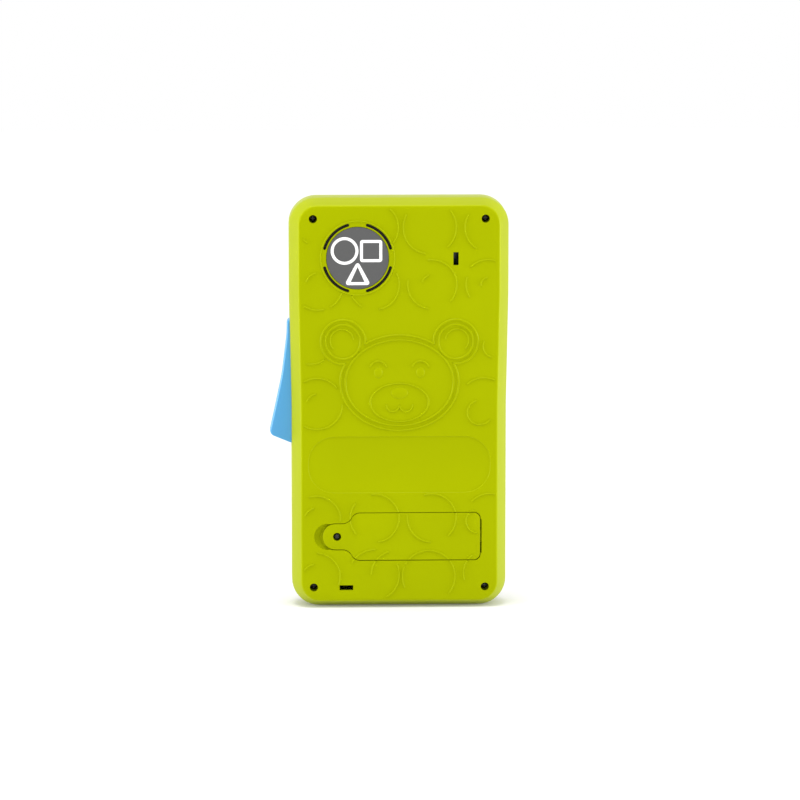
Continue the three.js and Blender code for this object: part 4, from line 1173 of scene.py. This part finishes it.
PICTURE = {
    "sky": ("#9fd8f2", [(0, 162, 60)]),
    "sun": ("#fbd23c", [(17, 178, 7)]),
    "cloud": ("#ffffff", [(-16, 176, 4.6), (-10.5, 178.5, 5.6), (-4.5, 176, 4.4)]),
    "far_hill": ("#8fcf5a", [(-19, 108, 42)]),
    "near_hill": ("#5fb43c", [(22, 104, 41)]),
}
for layer, (name, (chip, discs)) in enumerate(PICTURE.items()):
    back = CARD_LOW.y if layer == 0 else CARD_HIGH.y - INK_STEP
    front = CARD_HIGH.y + layer * INK_STEP
    first, *others = [rod(x * MM, z * MM, r * MM, back, front, 96, "picture_" + name)
                      for x, z, r in discs]
    if others:
        combine(first, "UNION", *others)
    combine(first, "INTERSECT", block((CARD_LOW.x, CARD_LOW.y - PAST, CARD_LOW.z),
                                      (CARD_HIGH.x, CARD_HIGH.y + PAST, CARD_HIGH.z)))
    glow = {"Emission Color": srgb(chip), "Emission Strength": 0.3}
    ink = mottled("printed_ink_" + name, chip, chip, 3, 0.35, 0.4, 0.003, glow)
    finish_piece(first, "case", "printed_card", "display_card", material=ink)

# %% [markdown]
# ## Keys
# Each key is a soft-edged cap on a thin flange that the plate holds in. The cap's top face is
# inset and lifted a little, which makes a pillow. On it stands one plain moulded sign: they are
# two-shot mouldings, so a sign is white plastic that stands 0.45 mm out of the coloured cap.

# %% Signs
SIGN_RISE = 0.45 * MM
SIGN_SIZE = 6.4


def ring_of(count, radius, other=None, start=90):
    """Corners round a circle; a second radius makes a star."""
    corners = []
    for i in range(count):
        reach = radius if other is None or i % 2 == 0 else other
        angle = math.radians(start + 360 * i / count)
        corners.append((reach * math.cos(angle), reach * math.sin(angle), 0.5))
    return corners


PLUS = [(-2, -6), (2, -6), (2, -2), (6, -2), (6, 2), (2, 2), (2, 6), (-2, 6), (-2, 2), (-6, 2),
        (-6, -2), (-2, -2)]
HEART = [(0, -6, 0.6), (6, 0.6, 0), (5.8, 4.6, 2.6), (1.4, 5.2, 1.6), (0, 2.6, 0.2),
         (-1.4, 5.2, 1.6), (-5.8, 4.6, 2.6), (-6, 0.6, 0)]
HOUSE = [(-4, -4.5, 0.5), (4, -4.5, 0.5), (4, 0.4, 0.1), (5.6, 0.4, 0.3), (0, 5.4, 0.6),
         (-5.6, 0.4, 0.3), (-4, 0.4, 0.1)]
SIGNS = [
    ring_of(36, 5.6),
    rounded_rectangle(-5, 5, -5, 5, 1),
    ring_of(3, SIGN_SIZE),
    ring_of(10, SIGN_SIZE, 2.9),
    HEART,
    ring_of(4, SIGN_SIZE),
    ring_of(8, 5.8, start=22.5),
    [(x, z, 0.6) for x, z in PLUS],
    ring_of(6, 6),
]


# %% Keys
KEY_BACK_Y, KEY_TOP_Y = (corner.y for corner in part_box("app_key_1"))
FLANGE_Y = KEY_BACK_Y + 1.2 * MM
CROWN = 0.35 * MM
CAP_ROUND = 1.4 * MM
CAP_Y = KEY_TOP_Y - SIGN_RISE - CROWN
slots = {row["node"]: row["material_slot"] for row in frame["record"]["subparts"]}


def moulded_sign(node, corners):
    """A white sign in low relief on top of a key's cap."""
    centre, base_y = middle(node), CAP_Y + CROWN
    placed = [(centre.x - x * MM, centre.z + z * MM, r * MM) for x, z, r in corners]
    sign = slab(placed, base_y - 0.3 * MM, base_y + SIGN_RISE, node + "_sign", steps=4)
    bevel_at(sign, base_y + SIGN_RISE, 0.14 * MM, 2)
    return finish_piece(sign, node, "white_abs", node, material=WHITE_INK)


def crowned(cap, inset):
    """Rounds a cap's front edge and lifts the middle of its front face."""
    bevel_at(cap, CAP_Y, CAP_ROUND, segments=5)
    open_edit(cap, "FACE")
    end_face(cap, 1, CAP_Y)
    bpy.ops.mesh.inset(thickness=inset * 0.4, depth=CROWN * 0.75)
    bpy.ops.mesh.inset(thickness=inset * 0.6, depth=CROWN * 0.25)
    close_edit()
    return cap


for node, corners in zip(KEY_NODES, SIGNS):
    cap = crowned(slab(key_corners(node), KEY_BACK_Y, CAP_Y, node + "_cap"), 2.2 * MM)
    combine(cap, "UNION", slab(key_corners(node, 1 * MM), KEY_BACK_Y, FLANGE_Y))
    finish_piece(cap, node, slots[node], node, smooth=50)
    moulded_sign(node, corners)

home_cap = rod(HOME.x, HOME.z, HOME_RADIUS, KEY_BACK_Y, CAP_Y, 64, "home_button_cap")
crowned(home_cap, 3 * MM)
combine(home_cap, "UNION",
        rod(HOME.x, HOME.z, HOME_RADIUS + 1 * MM, KEY_BACK_Y, FLANGE_Y, 64))
finish_piece(home_cap, "home_button", "orange_abs", "home_button", smooth=50)
moulded_sign("home_button", HOUSE)

# %% [markdown]
# ## Power slider
# The slider's grip has three ridges across it for a fingertip. It is a rounded block with grooves
# cut into it, on the stem and the retaining foot that the frame's node already has.

# %% Power slider
GRIP_Y = PLATE_FRONT_Y + 0.3 * MM
grip = slab(rounded_rectangle(SLIDER.x - 4 * MM, SLIDER.x + 4 * MM, SLIDER.z - 4.5 * MM,
                              SLIDER.z + 4.5 * MM, 1 * MM), GRIP_Y, SLIDER_HIGH.y, "power_slider_grip")
bevel_at(grip, SLIDER_HIGH.y, 0.5 * MM)
combine(grip, "DIFFERENCE", *(
    block((SLIDER.x + (step - 0.35) * MM, SLIDER_HIGH.y - 0.6 * MM, 0),
          (SLIDER.x + (step + 0.35) * MM, SLIDER_HIGH.y + PAST, HEIGHT)) for step in (-1.8, 0, 1.8)))
slider_foot = crop_to_inside("power_slider", "power_slider_foot",
                             block((0, 0, 0), (0.1, GRIP_Y, HEIGHT)))
for piece in (grip, slider_foot):
    finish_piece(piece, "power_slider", "red_abs", "power_slider")

# %% [markdown]
# ## Soft and springy parts
# Two parts change shape as the toy works: the lever's return spring shortens as the lever goes in,
# and each dome of the key membrane flattens under its key. The spring is drawn as a coil, by
# screwing a small circle round the spring's axis, and each dome is made as its own piece.

# %% Lever spring
SPRING_LOW, SPRING_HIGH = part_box("lever_spring")
SPRING = (SPRING_LOW + SPRING_HIGH) / 2
WIRE_RADIUS = 0.35 * MM
COIL_RADIUS = (SPRING_HIGH.z - SPRING_LOW.z) / 2 - WIRE_RADIUS
COIL_TURNS = 6
coil_length = SPRING_HIGH.x - SPRING_LOW.x - 2 * WIRE_RADIUS
bpy.ops.mesh.primitive_circle_add(vertices=10, radius=WIRE_RADIUS, rotation=(0, 0, 0))
coil = bpy.context.object
coil.name = "lever_return_spring"
open_edit(coil, "VERT", "SELECT")
bpy.ops.transform.translate(value=(0, COIL_RADIUS, 0))
close_edit()
use_modifier(coil, "SCREW", axis="X", screw_offset=coil_length / COIL_TURNS, iterations=COIL_TURNS,
             steps=28, render_steps=28, use_merge_vertices=True)
for end in (0, coil_length):
    open_edit(coil, "EDGE")
    pick(coil, "edges", lambda e: e.is_boundary and all(abs(v.co.x - end) < 0.5 * MM for v in e.verts))
    bpy.ops.mesh.edge_face_add()
    close_edit()
coil.location = (SPRING_LOW.x + WIRE_RADIUS, SPRING.y, SPRING.z)
face_outwards(settle(coil))
finish_piece(coil, "case", "plated_steel", "lever_spring")
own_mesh(coil)

# %% Key membrane
MEMBRANE_LOW, MEMBRANE_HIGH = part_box("key_membrane")
SHEET_Y = MEMBRANE_LOW.y + 1.2 * MM
DOME_TOP_Y = MEMBRANE_HIGH.y
membrane = crop_to_inside("key_membrane", "key_membrane_sheet",
                          block((-0.1, 0, 0), (0.1, SHEET_Y, HEIGHT)))
finish_piece(membrane, "case", "silicone", "key_membrane")
for node in [*KEY_NODES, "home_button"]:
    centre = middle(node)
    bpy.ops.mesh.primitive_cone_add(vertices=40, radius1=6 * MM, radius2=4.4 * MM,
                                    depth=DOME_TOP_Y - SHEET_Y, rotation=(-math.pi / 2, 0, 0),
                                    location=(centre.x, (DOME_TOP_Y + SHEET_Y) / 2, centre.z))
    dome = settle(bpy.context.object, node + "_dome")
    bevel_at(dome, DOME_TOP_Y, 0.6 * MM)
    finish_piece(dome, "case", "silicone", "key_membrane", smooth=50)
    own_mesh(dome)

# %% [markdown]
# ## Cells, and the dark disc behind the speaker slots
# With the door open, the two cells show. A cell is a steel can in shrink film: the film's edge
# turns over both ends, and the positive end has its button. Behind the arc slots a dark disc, as
# wide as the gasket, stands in the gasket's place: a painted shade that makes the slots read dark.

# %% Cells
CELL_RADIUS = 5.1 * MM
for node in ("battery_cell_lower", "battery_cell_upper"):
    low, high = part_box(node)
    y, z = (low.y + high.y) / 2, (low.z + high.z) / 2
    button_side = 1 if node.endswith("lower") else -1
    can_low = low.x + (1 * MM if button_side < 0 else 0)
    can_high = high.x - (1 * MM if button_side > 0 else 0)
    can = round_edges(bar_x(can_low, can_high, y, z, CELL_RADIUS, node + "_can"), 0.5 * MM, 4)
    finish_piece(can, "case", "cell_wrap", node)
    tip = can_high if button_side > 0 else can_low
    ends = sorted((tip - button_side * 0.3 * MM, tip + button_side * 1 * MM))
    button = round_edges(bar_x(*ends, y, z, 1.9 * MM, node + "_button"), 0.3 * MM, 3)
    finish_piece(button, "case", "plated_steel", node)

# %% Gasket as a dark disc behind the slots
GASKET_LOW, GASKET_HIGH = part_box("speaker_gasket")
# A full dark disc in the gasket's place: the gasket itself, and painted shade behind the slots.
gasket_shade_disc = rod(BADGE.x, BADGE.z, (GASKET_HIGH.x - GASKET_LOW.x) / 2, GASKET_LOW.y, GASKET_HIGH.y, 96,
            "speaker_gasket_shade_disc")
round_edges(gasket_shade_disc, 0.15 * MM, 2)
finish_piece(gasket_shade_disc, "case", "black_plastic", "speaker_gasket", material=FINISHES["paper_cone"])


# %% [markdown]
# ## What stays as the frame made it
# Boards, wires, the speaker's parts and the lamps are hidden inside, and their model shapes are
# right as they are. Each one gets the finish of its material slot.

# %% Finishes on the frame's own nodes
for row in frame["record"]["subparts"]:
    node = frame["nodes"][row["node"]]
    node.data.materials.clear()
    node.data.materials.append(FINISHES[row["material_slot"]])
